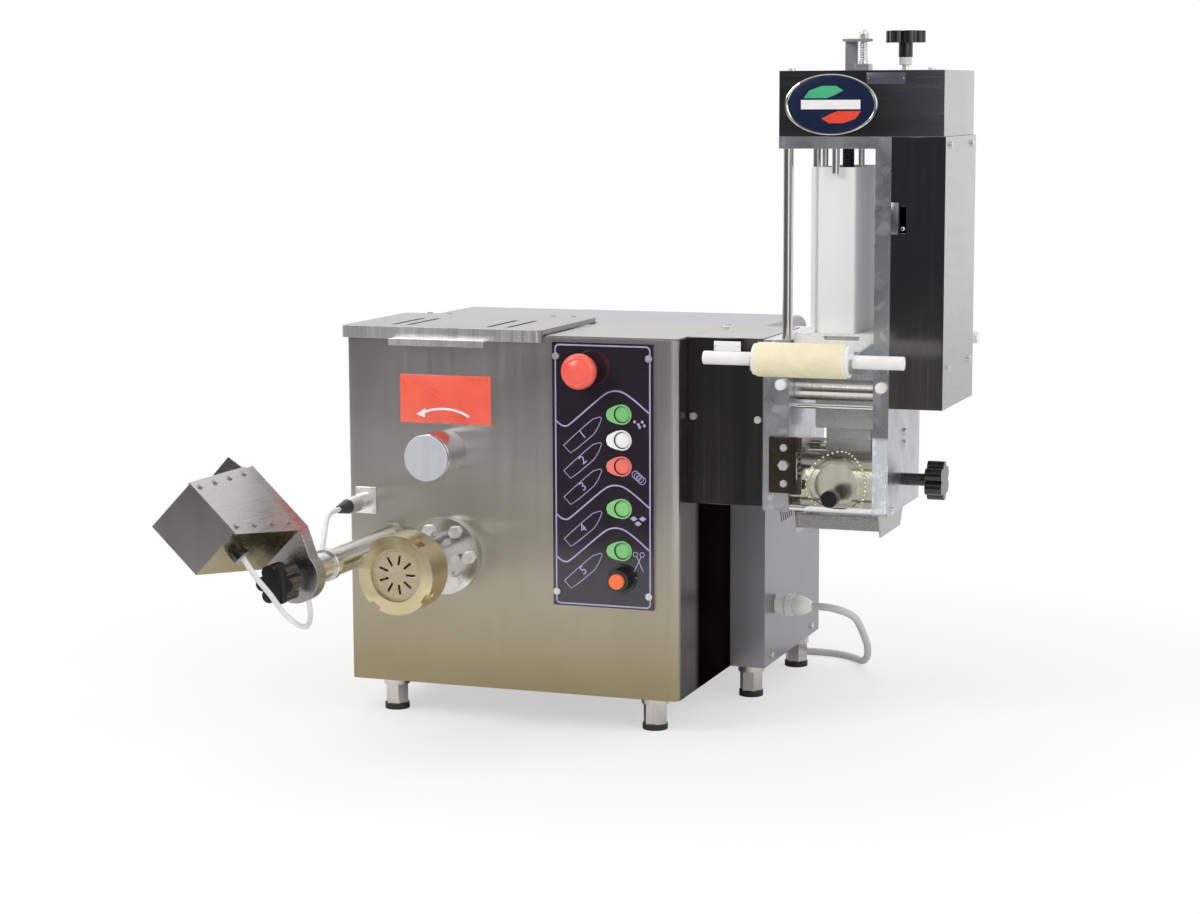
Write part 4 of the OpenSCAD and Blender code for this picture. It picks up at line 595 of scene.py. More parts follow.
class Palette:
    """Every finish of the machine."""

    # Painted reflection: the housing's front turns warm towards the bottom, standing in for a warm surface
    # reflected from below.
    housing = Brushed("housing_steel", (0.60, 0.59, 0.575), 0.37, contrast=0.05, depth=0.000008, sheen=0.8,
                      tint=(0.36, 0.305, 0.18), tint_reach=(60.0, 330.0))
    side = Brushed("side_steel", (0.36, 0.352, 0.375), 0.3, contrast=0.08, depth=0.00001)
    # Painted shade: the front housing's right side is painted near black, with painted light making its front
    # edge lighter.
    front_side = Brushed("front_side_steel", (0.035, 0.032, 0.028), 0.2, contrast=0.08, depth=0.000006,
                         edge=0.3, tint=(0.26, 0.25, 0.25), tint_axis=Axis.Y, tint_reach=(60.0, 78.0))
    lid = Brushed("lid_steel", (0.34, 0.335, 0.325), 0.28, axis=Axis.X, contrast=0.08)
    lid_rim = Brushed("lid_rim_steel", (0.86, 0.85, 0.82), 0.4, axis=Axis.Z, contrast=0.2)
    top = Brushed("top_cover_steel", (0.37, 0.365, 0.355), 0.3, axis=Axis.X, contrast=0.08)
    # Painted dark reflection: the link box's steel is painted near black on every face but its top.
    dark = Brushed("painted_dark_reflection_steel", (0.15, 0.145, 0.14), 0.14, axis=Axis.Z, contrast=0.06,
                   depth=0.000003, sheen=0.3)
    # Painted dark reflection: the gear cover's front is painted dark, with a painted lighter reflection
    # towards the bottom.
    gear_front = Brushed("gear_front_steel", (0.16, 0.165, 0.175), 0.17, axis=Axis.Z, contrast=0.05,
                         depth=0.000002, sheen=0.3, tint=(0.38, 0.36, 0.34), tint_reach=(330.0, 520.0))
    # Painted reflection: the head cover's front is painted darker towards the left.
    head_front = Brushed("head_front_steel", (0.34, 0.345, 0.37), 0.2, axis=Axis.X, contrast=0.03,
                         depth=0.000001, sheen=0.3, tint=(0.13, 0.13, 0.135), tint_axis=Axis.X,
                         tint_reach=(610.0, 690.0))
    # Painted shade: the rear housing's strip beside the front housing is painted dark, with a painted warm
    # reflection towards the bottom.
    dark_strip = Brushed("painted_shade_strip_steel", (0.10, 0.09, 0.075), 0.2, contrast=0.08, sheen=0.3,
                         edge=0.4, tint=(0.24, 0.20, 0.11))
    box_front = Brushed("cutter_box_front", (0.44, 0.43, 0.42), 0.36, axis=Axis.Z, contrast=0.05,
                        depth=0.000008)
    cover_side = Brushed("cover_side_steel", (0.44, 0.435, 0.43), 0.26, axis=Axis.Y, contrast=0.04,
                         depth=0.000002)
    # Painted reflection: the cutter box's faces that look down are painted warm brown.
    cover_low = Brushed("cover_low_steel", (0.34, 0.28, 0.14), 0.24, axis=Axis.Y, contrast=0.06,
                        depth=0.000002)
    chrome = Brushed("polished_bar", (0.84, 0.84, 0.83), 0.14, contrast=0.05, sheen=0.3)
    zinc = Brushed("plated_screw", (0.84, 0.84, 0.82), 0.34, axis=Axis.X, contrast=0.08, sheen=0.0)
    foot = Brushed("foot_steel", (0.66, 0.64, 0.60), 0.2, axis=Axis.Z)
    satin = Brushed("satin_tank", (0.68, 0.68, 0.67), 0.34, axis=Axis.Y)
    barrel = Turned("turned_barrel", (0.66, 0.65, 0.63), 0.16, centre=(121, 0, 193.5), depth=0.000003,
                    sheen=0.4)
    rod = Turned("turned_rod", (0.70, 0.69, 0.66), 0.18, centre=(52.5, 0, 207), depth=0.000003)
    knob_side = Turned("knob_side", (0.60, 0.59, 0.58), 0.16, centre=(121, 0, 312.5), depth=0.000003)
    knob_face = Brushed("knob_face", (0.68, 0.70, 0.74), 0.55, contrast=0.03, sheen=0.0, depth=0.000004)
    brass = Turned("ring_nut_brass", (0.72, 0.62, 0.39), 0.2, centre=(121, 0, 193.5), depth=0.000005)
    bronze = Turned("die_bronze", (0.80, 0.70, 0.48), 0.42, centre=(121, 0, 193.5), speckle=0.8,
                    depth=0.00006, sheen=0.3)
    mould = Turned("mould_bronze", (0.50, 0.47, 0.38), 0.2, centre=(570, 110, 289), axis=Axis.X,
                   speckle=0.1, depth=0.000006)
    feed = Turned("feed_roller_steel", (0.70, 0.69, 0.66), 0.18, centre=(570, 66, 392), axis=Axis.X,
                  depth=0.000005)
    plate = Milled("frame_aluminium", (0.66, 0.68, 0.71), 0.3, scratch=0.6)
    cast = Milled("cast_aluminium", (0.88, 0.88, 0.87), 0.5, grain=420.0, scratch=0.1, metal=0.3,
                  depth=0.00008)
    anodised = Brushed("hopper_aluminium", (0.94, 0.94, 0.93), 0.42, contrast=0.03, metal=0.25,
                       depth=0.000004)
    bracket_alloy = Milled("bracket_alloy", (0.55, 0.56, 0.57), 0.3, metal=0.7, depth=0.00002)
    bracket = Milled("bracket_plate", (0.13, 0.105, 0.08), 0.22, grain=900.0, scratch=0.6)
    motor = Moulded("motor_paint", (0.24, 0.28, 0.31), 0.42, coat=0.2)
    chain = Milled("chain_steel", (0.20, 0.20, 0.20), 0.4, grain=500.0)
    brass_bead = Brushed("bead_bronze", (0.86, 0.80, 0.62), 0.22, contrast=0.04, sheen=0.0)
    black = Moulded("black_phenolic", (0.012, 0.012, 0.013), 0.16, coat=0.3)
    inner_black = Moulded("switch_plastic", (0.03, 0.03, 0.033), 0.4)
    panel = Moulded("panel_enamel", (0.018, 0.014, 0.022), 0.12, coat=0.5, depth=0.000004)
    lavender = Moulded("lavender_print", (0.42, 0.38, 0.62), 0.35)
    red = Moulded("stop_red", (0.95, 0.13, 0.09), 0.34, coat=0.1)
    coral = Moulded("coral_cap", (0.92, 0.20, 0.17), 0.3, coat=0.1)
    coral_print = Moulded("coral_print", (0.90, 0.20, 0.17), 0.35)
    green = Moulded("green_cap", (0.24, 0.60, 0.22), 0.3, coat=0.1)
    green_print = Moulded("green_print", (0.24, 0.58, 0.22), 0.35)
    white = Moulded("white_cap", (0.94, 0.94, 0.94), 0.3, coat=0.1)
    orange = Moulded("orange_cap", (0.95, 0.17, 0.05), 0.25, coat=0.3)
    plate_red = Moulded("red_plate", (0.95, 0.135, 0.085), 0.3, coat=0.1)
    plate_white = Moulded("white_plate", (0.90, 0.90, 0.90), 0.35)
    plate_dark = Moulded("small_dark_plate", (0.075, 0.07, 0.095), 0.35)
    navy = Moulded("badge_navy", (0.008, 0.016, 0.05), 0.2, coat=0.3)
    badge_green = Moulded("badge_green", (0.07, 0.46, 0.24), 0.3)
    badge_red = Moulded("badge_red", (0.80, 0.07, 0.04), 0.3)
    acetal = Moulded("white_acetal", (0.86, 0.85, 0.83), 0.34, soft=0.15)
    ivory = Moulded("ivory_sleeve", (0.86, 0.79, 0.54), 0.5, grain=500.0, depth=0.00008, soft=0.1)
    rubber = Moulded("foot_rubber", (0.02, 0.02, 0.02), 0.6, grain=900.0, depth=0.00004)
    connector = Turned("connector_shell", (0.78, 0.78, 0.76), 0.2, centre=(21, 0, 252), depth=0.000004)
    gland = Moulded("nylon_gland", (0.80, 0.80, 0.77), 0.42, grain=1200.0, soft=0.1)
    mains = Sheath("mains_sheath", (0.56, 0.58, 0.58), 0.42)
    cable = Sheath("white_cable", (0.84, 0.84, 0.80), 0.34)
    tie = Sheath("tie_strap", (0.03, 0.03, 0.03), 0.5)
    plug = Moulded("plug_black", (0.018, 0.018, 0.018), 0.42, grain=900.0, depth=0.00003)
    thread = Threaded("screw_thread", (0.07, 0.07, 0.075), 0.3)
    clear = Clear("clear_guard", (0.95, 0.97, 0.97), 0.06)


# ---------------------------------------------------------------- shapes


@dataclass(frozen=True)
class Zone:
    """A finish and the faces that take it: where they are, the way they look and their largest size."""

    finish: Finish
    low: Point = (-EVERYWHERE, -EVERYWHERE, -EVERYWHERE)
    high: Point = (EVERYWHERE, EVERYWHERE, EVERYWHERE)
    facing: Point = (0.0, 0.0, 0.0)
    largest: float = EVERYWHERE ** 2

    def holds(self, polygon: bpy.types.MeshPolygon) -> bool:
        """Tells whether a face takes the finish.

        Args:
            polygon: The face.

        Returns:
            Whether its place, the way it looks and its size fit the zone.
        """
        lowest, highest = at(*self.low), at(*self.high)
        if any(self.facing) and polygon.normal.dot(Vector(self.facing).normalized()) < 0.95:
            return False
        inside = all(lowest[i] <= polygon.center[i] <= highest[i] for i in range(3))
        return inside and polygon.area * 1.0e6 <= self.largest


def side(finish: Finish, axis: Axis, low: float = -EVERYWHERE, high: float = EVERYWHERE) -> Zone:
    """Gives a zone between two places along one axis.

    Args:
        finish: The zone's finish.
        axis: The axis that the two places are on.
        low: The first place in machine millimetres.
        high: The last place in machine millimetres.

    Returns:
        The zone.
    """
    lowest, highest = [-EVERYWHERE] * 3, [EVERYWHERE] * 3
    lowest[axis.value], highest[axis.value] = low, high
    return Zone(finish, tuple(lowest), tuple(highest))


def linked(name: str, data: bpy.types.ID) -> bpy.types.Object:
    """Puts data in the scene as an object.

    Args:
        name: The object's name.
        data: Its mesh, curve, camera or lamp.

    Returns:
        The object.
    """
    made = bpy.data.objects.new(name, data)
    bpy.context.scene.collection.objects.link(made)
    return made


def finished(bm: bmesh.types.BMesh, name: str, body: str, finish: Finish,
             crease: float = 32.0) -> bpy.types.Object:
    """Turns a bmesh into a piece of the machine.

    Args:
        bm: The shape, in the scene's place; it is freed.
        name: The piece's name.
        body: The body that it rides on.
        finish: Its finish.
        crease: The angle in degrees above which an edge stays sharp.

    Returns:
        The piece.
    """
    bmesh.ops.remove_doubles(bm, verts=bm.verts, dist=1.0e-6)
    bmesh.ops.recalc_face_normals(bm, faces=bm.faces)
    for face in bm.faces:
        face.smooth = True
    for edge in bm.edges:
        edge.smooth = edge.calc_face_angle(0.0) < math.radians(crease)
    mesh = bpy.data.meshes.new(name)
    bm.to_mesh(mesh)
    bm.free()
    mesh.materials.append(finish.material())
    piece = linked(name, mesh)
    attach(piece, body)
    LOG.info("piece %s on %s", name, body)
    return piece


def soften(bm: bmesh.types.BMesh, width: float, segments: int = 2, angle: float = 35.0) -> None:
    """Bevels the sharp edges of a bmesh.

    Args:
        bm: The shape.
        width: The bevel's width in millimetres.
        segments: Its number of steps.
        angle: The angle in degrees from which an edge is bevelled.
    """
    edges = [e for e in bm.edges if e.calc_face_angle(0.0) > math.radians(angle)]
    bmesh.ops.bevel(bm, geom=edges, offset=width / 1000.0, offset_type="OFFSET", segments=segments,
                    profile=0.5, affect="EDGES", material=-1, clamp_overlap=True)


def lathe(profile: Sequence[Flat], base: Point, axis: Axis, steps: int = 64) -> bmesh.types.BMesh:
    """Spins a profile round an axis of the machine.

    Args:
        profile: Radius and place along the axis, in millimetres.
        base: A point of the axis; its place along the axis is 0.
        axis: The axis to spin round.
        steps: The number of steps of the full turn.

    Returns:
        The spun shape, in the scene's place.
    """
    bm = bmesh.new()
    line = [bm.verts.new((r / 1000.0, 0.0, h / 1000.0)) for r, h in profile]
    edges = [bm.edges.new(pair) for pair in zip(line, line[1:])]
    bmesh.ops.spin(bm, geom=line + edges, cent=(0, 0, 0), axis=(0, 0, 1), angle=2.0 * math.pi,
                   steps=steps, use_merge=True)
    bmesh.ops.remove_doubles(bm, verts=bm.verts, dist=1.0e-7)
    turn = {Axis.X: Matrix.Rotation(math.pi / 2, 3, "Y"), Axis.Y: Matrix.Rotation(-math.pi / 2, 3, "X"),
            Axis.Z: Matrix.Identity(3)}[axis]
    bmesh.ops.rotate(bm, verts=bm.verts, cent=(0, 0, 0), matrix=turn)
    centre = list(base)
    centre[axis.value] = 0.0
    shift = at(*centre)
    shift[axis.value] = at(*base)[axis.value]
    bmesh.ops.translate(bm, verts=bm.verts, vec=shift)
    return bm


def block(low: Point, high: Point) -> bmesh.types.BMesh:
    """Makes a box.

    Args:
        low: Its lowest corner in machine millimetres.
        high: Its highest corner in machine millimetres.

    Returns:
        The box.
    """
    bm = bmesh.new()
    bmesh.ops.create_cube(bm, size=1.0)
    first, last = at(*low), at(*high)
    bmesh.ops.scale(bm, verts=bm.verts, vec=last - first)
    bmesh.ops.translate(bm, verts=bm.verts, vec=(first + last) / 2.0)
    return bm


def tube(points: Sequence[Vector], radius: float, name: str, rounding: int) -> bpy.types.Object:
    """Makes a round curve through points.

    Args:
        points: The line's points in the scene.
        radius: The tube's radius in millimetres.
        name: The object's name.
        rounding: How round it is; it has twice this number of sides and four more.

    Returns:
        The curve object.
    """
    data = bpy.data.curves.new(name, "CURVE")
    data.dimensions = "3D"
    data.bevel_depth = radius / 1000.0
    data.bevel_resolution = rounding
    data.use_fill_caps = True
    spline = data.splines.new("POLY")
    spline.points.add(len(points) - 1)
    for point, place in zip(spline.points, points):
        point.co = (*place, 1.0)
    spline.use_smooth = True
    return linked(name, data)


def eased(points: Sequence[Vector], steps: int = 5) -> list[Vector]:
    """Runs a smooth line through the points.

    Args:
        points: The points to run through.
        steps: The number of stretches between two of them.

    Returns:
        The points of the smooth line.
    """
    line: list[Vector] = []
    last = len(points) - 1
    for i in range(last):
        before, start = points[max(i - 1, 0)], points[i]
        end, after = points[i + 1], points[min(i + 2, last)]
        for k in range(steps):
            t = k / steps
            line.append(0.5 * (2 * start + (end - before) * t
                               + (2 * before - 5 * start + 4 * end - after) * t * t
                               + (3 * start - before - 3 * end + after) * t ** 3))
    line.append(points[last])
    return line


def length_of(points: Sequence[Vector]) -> float:
    """Gives the length of a line in metres."""
    return sum((b - a).length for a, b in zip(points, points[1:]))


def meshed(source: bpy.types.Object) -> bpy.types.Mesh:
    """Turns a curve or text object into a mesh and deletes the object.

    Args:
        source: The object.

    Returns:
        The mesh.
    """
    graph = bpy.context.evaluated_depsgraph_get()
    mesh = bpy.data.meshes.new_from_object(source.evaluated_get(graph))
    bpy.data.objects.remove(source)
    return mesh


def refined(node: str, zones: Sequence[Zone], width: float = 0.5, segments: int = 2,
            angle: float = 35.0) -> bpy.types.Object:
    """Makes a dressed copy of a CAD node with soft edges and stands it in the node's place.

    Args:
        node: The CAD node.
        zones: Its finishes; a later zone covers an earlier one.
        width: The width of the edge bevel in millimetres.
        segments: The bevel's number of steps.
        angle: The angle in degrees from which an outer edge is bevelled; an inner corner never is,
            so nothing grows into a clearance.

    Returns:
        The dressed copy.
    """
    source = frame["nodes"][node]
    bm = bmesh.new()
    bm.from_mesh(source.data)
    bmesh.ops.remove_doubles(bm, verts=bm.verts, dist=1.0e-5)
    bmesh.ops.dissolve_limit(bm, angle_limit=math.radians(0.5), verts=bm.verts, edges=bm.edges)
    for face in bm.faces:
        face.smooth = True
        face.material_index = 0
    rounded = bm.edges.layers.float.new("bevel_weight_edge")
    for edge in bm.edges:
        turn = edge.calc_face_angle(0.0)
        edge.smooth = turn < math.radians(30.0)
        edge[rounded] = 1.0 if edge.is_convex and turn > math.radians(angle) else 0.0
    mesh = bpy.data.meshes.new(f"{node}_dressed")
    bm.to_mesh(mesh)
    bm.free()
    leftover = mesh.attributes.get("custom_normal")
    if leftover:
        mesh.attributes.remove(leftover)
    mesh.materials.clear()
    for zone in zones:
        mesh.materials.append(zone.finish.material())
    if len(zones) > 1:
        for polygon in mesh.polygons:
            polygon.material_index = max(i for i, zone in enumerate(zones)
                                         if i == 0 or zone.holds(polygon))
    piece = linked(f"{node}_dressed", mesh)
    if width:
        bevel = piece.modifiers.new("soft_edges", "BEVEL")
        bevel.width = width / 1000.0
        bevel.segments = segments
        bevel.limit_method = "WEIGHT"
        normals = piece.modifiers.new("flat_faces", "WEIGHTED_NORMAL")
        normals.keep_sharp = True
    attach(piece, source["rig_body"])
    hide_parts(node)
    LOG.info("piece %s for %s", piece.name, node)
    return piece


def dressed(finish: Finish, *nodes: str) -> None:
    """Gives CAD nodes that keep their own shape a finish.

    Args:
        finish: The finish.
        nodes: The nodes' names.
    """
    for node in nodes:
        shown = frame["nodes"][node]
        shown.data.materials.clear()
        shown.data.materials.append(finish.material())
        LOG.info("finish %s on %s", finish.name, node)


@dataclass
class FrontArt:
    """Thin printed or riveted shapes on a face that looks forward."""

    body: str
    face: float
    slot: str
    print_depth: float = 0.2
    sunk: float = 0.05
    font_share: float = 1.35

    def line(self, name: str, points: Sequence[Flat], finish: Finish, width: float = 1.0,
             closed: bool = False, smooth: bool = False, proud: float = 0.22) -> bpy.types.Object:
        """Draws a raised line.

        Args:
            name: The piece's name.
            points: Places across and up, in machine millimetres.
            finish: Its finish.
            width: The line's width in millimetres.
            closed: Whether the line ends where it starts.
            smooth: Whether the line curves through its points.
            proud: How far it stands out, in millimetres.

        Returns:
            The line's piece.
        """
        route = [at(x, self.face, z) for x, z in points]
        if closed:
            route.append(route[0])
        if smooth:
            route = eased(route, 8)
        mesh = meshed(tube(route, width / 2.0, name, 2))
        bm = bmesh.new()
        bm.from_mesh(mesh)
        bpy.data.meshes.remove(mesh)
        front = at(0, self.face, 0).y
        bmesh.ops.translate(bm, verts=bm.verts, vec=(0, -front, 0))
        bmesh.ops.scale(bm, verts=bm.verts, vec=(1.0, 2.0 * proud / width, 1.0))
        bmesh.ops.translate(bm, verts=bm.verts, vec=(0, front, 0))
        return finished(bm, name, self.body, finish)

    def shape(self, name: str, outlines: Sequence[Sequence[Flat]], finish: Finish,
              proud: float = 0.2) -> bpy.types.Object:
        """Lays a flat shape on the face.

        Args:
            name: The piece's name.
            outlines: The outer outline and its holes, across and up, in machine millimetres.
            finish: Its finish.
            proud: How far it stands out, in millimetres.

        Returns:
            The shape's piece.
        """
        data = bpy.data.curves.new(name, "CURVE")
        data.dimensions = "2D"
        data.fill_mode = "BOTH"
        data.extrude = proud / 2000.0
        for outline in outlines:
            spline = data.splines.new("POLY")
            spline.points.add(len(outline) - 1)
            for point, (x, z) in zip(spline.points, outline):
                place = at(x, 0.0, z)
                point.co = (place.x, place.z, 0.0, 1.0)
            spline.use_cyclic_u = True
        return self._laid(linked(name, data), name, finish, proud)

    def words(self, name: str, text: str, place: Flat, size: float, finish: Finish,
              turn: float = 0.0) -> bpy.types.Object:
        """Prints a plain number on the face.

        Args:
            name: The piece's name.
            text: The number.
            place: Its centre across and up, in machine millimetres.
            size: Its height in millimetres.
            finish: Its finish.
            turn: Its turn in degrees.

        Returns:
            The number's piece.
        """
        data = bpy.data.curves.new(name, "FONT")
        data.body = text
        data.size = size / 1000.0 * self.font_share
        data.align_x = "CENTER"
        data.align_y = "CENTER"
        data.extrude = self.print_depth / 2000.0
        data.resolution_u = 3
        spot = at(place[0], 0.0, place[1])
        written = linked(name, data)
        written.matrix_world = Matrix.Translation((spot.x, spot.z, 0.0)) @ Matrix.Rotation(
            math.radians(turn), 4, "Z")
        return self._laid(written, name, finish, self.print_depth)

    def _laid(self, source: bpy.types.Object, name: str, finish: Finish,
              proud: float) -> bpy.types.Object:
        """Stands a flat object up against the face.

        Args:
            source: The flat object, drawn in X and Y.
            name: The piece's name.
            finish: Its finish.
            proud: How far it stands out, in millimetres.

        Returns:
            The piece.
        """
        place = source.matrix_world.copy()
        bpy.context.view_layer.update()
        mesh = meshed(source)
        bm = bmesh.new()
        bm.from_mesh(mesh)
        bpy.data.meshes.remove(mesh)
        bmesh.ops.transform(bm, verts=bm.verts, matrix=place)
        bmesh.ops.rotate(bm, verts=bm.verts, cent=(0, 0, 0), matrix=Matrix.Rotation(math.pi / 2, 3, "X"))
        middle = at(0, self.face - proud / 2.0 + self.sunk, 0).y
        bmesh.ops.translate(bm, verts=bm.verts, vec=(0, middle, 0))
        return finished(bm, name, self.body, finish)


def ring_of(x: float, z: float, radius: float, steps: int = 32, start: float = 0.0,
            sweep: float = 360.0) -> list[Flat]:
    """Gives points on a circle or an arc.

    Args:
        x: The centre across.
        z: The centre's height.
        radius: The radius.
        steps: The number of points.
        start: The first point's angle in degrees.
        sweep: The arc in degrees; a full circle doesn't repeat its first point.

    Returns:
        The points across and up.
    """
    spread = steps if sweep == 360.0 else steps - 1
    angles = [math.radians(start + sweep * i / spread) for i in range(steps)]
    return [(x + radius * math.cos(a), z + radius * math.sin(a)) for a in angles]


# ---------------------------------------------------------------- studio


@dataclass
class Studio:
    """Camera, floor and light."""

    eye: Point = (1295.0, -2729.0, 717.9)
    focal_px: float = 2609.77
    image_px: int = 1200
    sensor: float = 36.0
    yaw: float = 19.85
    pitch: float = 7.91
    roll: float = -0.24
    view_end: float = 50.0
    floor_colour: Colour = (0.86, 0.86, 0.85)
    floor_half: Flat = (4.5, 3.1)
    floor_middle: Point = (0.0, 1.95, -0.0002)
    floor_fade: Flat = (0.45, 1.1)
    floor_white: Flat = (0.55, 1.0)
    soft_box: Point = (0.45, -0.88, 0.15)
    soft_box_edge: Flat = (0.93, 0.965)
    room_front: float = 0.11
    room_ceiling: float = 0.75
    lamps: tuple[tuple[str, Point, Point, float, float], ...] = (
        ("key_light", (-1300, -1900, 1900), (250, 0, 300), 1.3, 44.0),
        ("fill_light", (2300, -900, 1500), (350, 100, 300), 1.6, 20.0),
        ("back_light", (-400, 2300, 2100), (300, 200, 300), 1.6, 6.0))

    def build(self) -> None:
        """Sets up everything that isn't the machine."""
        self._camera()
        self._floor()
        self._world()
        for lamp in self.lamps:
            self._lamp(*lamp)

    def _camera(self) -> None:
        """Stands the camera at its measured place."""
        data = bpy.data.cameras.new("camera")
        data.sensor_width = self.sensor
        data.sensor_fit = "HORIZONTAL"
        data.lens = self.focal_px / self.image_px * self.sensor
        data.clip_end = self.view_end
        camera = linked("camera", data)
        yaw, pitch, roll = (math.radians(a) for a in (self.yaw, self.pitch, self.roll))
        ahead = Vector((-math.sin(yaw) * math.cos(pitch), math.cos(yaw) * math.cos(pitch),
                        -math.sin(pitch)))
        right = Vector((math.cos(yaw), math.sin(yaw), 0.0))
        up = right.cross(ahead)
        turned_right = right * math.cos(roll) + up * math.sin(roll)
        turned_up = up * math.cos(roll) - right * math.sin(roll)
        camera.matrix_world = Matrix.Translation(at(*self.eye)) @ Matrix(
            (turned_right, turned_up, -ahead)).transposed().to_4x4()
        bpy.context.scene.camera = camera

    def _floor(self) -> None:
        """Lays a pale floor that keeps the shadow."""
        bm = bmesh.new()
        bmesh.ops.create_grid(bm, x_segments=2, y_segments=2, size=1.0)
        bmesh.ops.scale(bm, verts=bm.verts, vec=(*self.floor_half, 1.0))
        bmesh.ops.translate(bm, verts=bm.verts, vec=self.floor_middle)
        mesh = bpy.data.meshes.new("floor")
        bm.to_mesh(mesh)
        bm.free()
        material = bpy.data.materials.new("floor_paint")
        material.use_nodes = True
        material.node_tree.nodes.clear()
        g = Graph(material.node_tree)
        place = g.add("ShaderNodeTexCoord").outputs["Object"]
        patch = g.add("ShaderNodeTexNoise", {"Vector": place, "Scale": 3.0}).outputs[0]
        colour = g.mixed(patch, self.floor_colour, tuple(c * 0.985 for c in self.floor_colour))
        paint = g.add("ShaderNodeBsdfDiffuse", {"Color": colour})
        glow = g.add("ShaderNodeEmission", {"Color": (1.0, 1.0, 1.0, 1.0), "Strength": 1.0})
        seen = g.add("ShaderNodeLightPath")
        reach = g.add("ShaderNodeVectorMath", {0: place}, operation="LENGTH").outputs["Value"]
        white = g.scaled(reach, *self.floor_white, *self.floor_fade)
        share = g.sum(seen.outputs["Is Camera Ray"], white, "MULTIPLY")
        both = g.add("ShaderNodeMixShader", {0: share, 1: paint.outputs[0], 2: glow.outputs[0]})
        out = g.add("ShaderNodeOutputMaterial")
        g.put(out.inputs["Surface"], both.outputs[0])
        mesh.materials.append(material)
        linked("floor", mesh)

    def _world(self) -> None:
        """Paints the studio: white behind the machine, a soft box beside the camera, darker between."""
        world = bpy.data.worlds.new("studio")
        bpy.context.scene.world = world
        world.use_nodes = True
        world.node_tree.nodes.clear()
        g = Graph(world.node_tree)
        way = g.add("ShaderNodeTexCoord").outputs["Generated"]
        parts = g.add("ShaderNodeSeparateXYZ", {"Vector": way}).outputs
        depth = g.scaled(parts["Y"], self.room_front, 1.0, -0.25, 0.3)
        ceiling = g.scaled(parts["Z"], 0.0, self.room_ceiling, 0.3, 0.75)
        facing = g.add("ShaderNodeVectorMath", {0: way, 1: self.soft_box}, operation="DOT_PRODUCT")
        box = g.scaled(facing.outputs["Value"], 0.0, 1.0, *self.soft_box_edge)
        mirrored = g.sum(g.sum(depth, ceiling, "MAXIMUM"), box, "MAXIMUM")
        path = g.add("ShaderNodeLightPath").outputs
        room = g.add("ShaderNodeCombineXYZ", {0: mirrored, 1: mirrored, 2: mirrored}).outputs[0]
        open_view = g.sum(path["Is Camera Ray"], path["Is Transmission Ray"], "MAXIMUM")
        shown = g.mixed(open_view, room, (1.0, 1.0, 1.0))
        back = g.add("ShaderNodeBackground", {"Color": shown, "Strength": 1.0})
        g.put(g.add("ShaderNodeOutputWorld").inputs["Surface"], back.outputs[0])
        bpy.context.scene.view_settings.view_transform = "Standard"

    def _lamp(self, name: str, place: Point, target: Point, size: float, power: float) -> None:
        """Hangs a soft square lamp.

        Args:
            name: The lamp's name.
            place: Where it hangs, in machine millimetres.
            target: What it looks at.
            size: Its side in metres.
            power: Its power in watts.
        """
        data = bpy.data.lights.new(name, "AREA")
        data.size = size
        data.energy = power
        lamp = linked(name, data)
        aim = at(*target) - at(*place)
        turn = aim.to_track_quat("-Z", "Y").to_matrix().to_4x4()
        lamp.matrix_world = Matrix.Translation(at(*place)) @ turn


# ---------------------------------------------------------------- cords


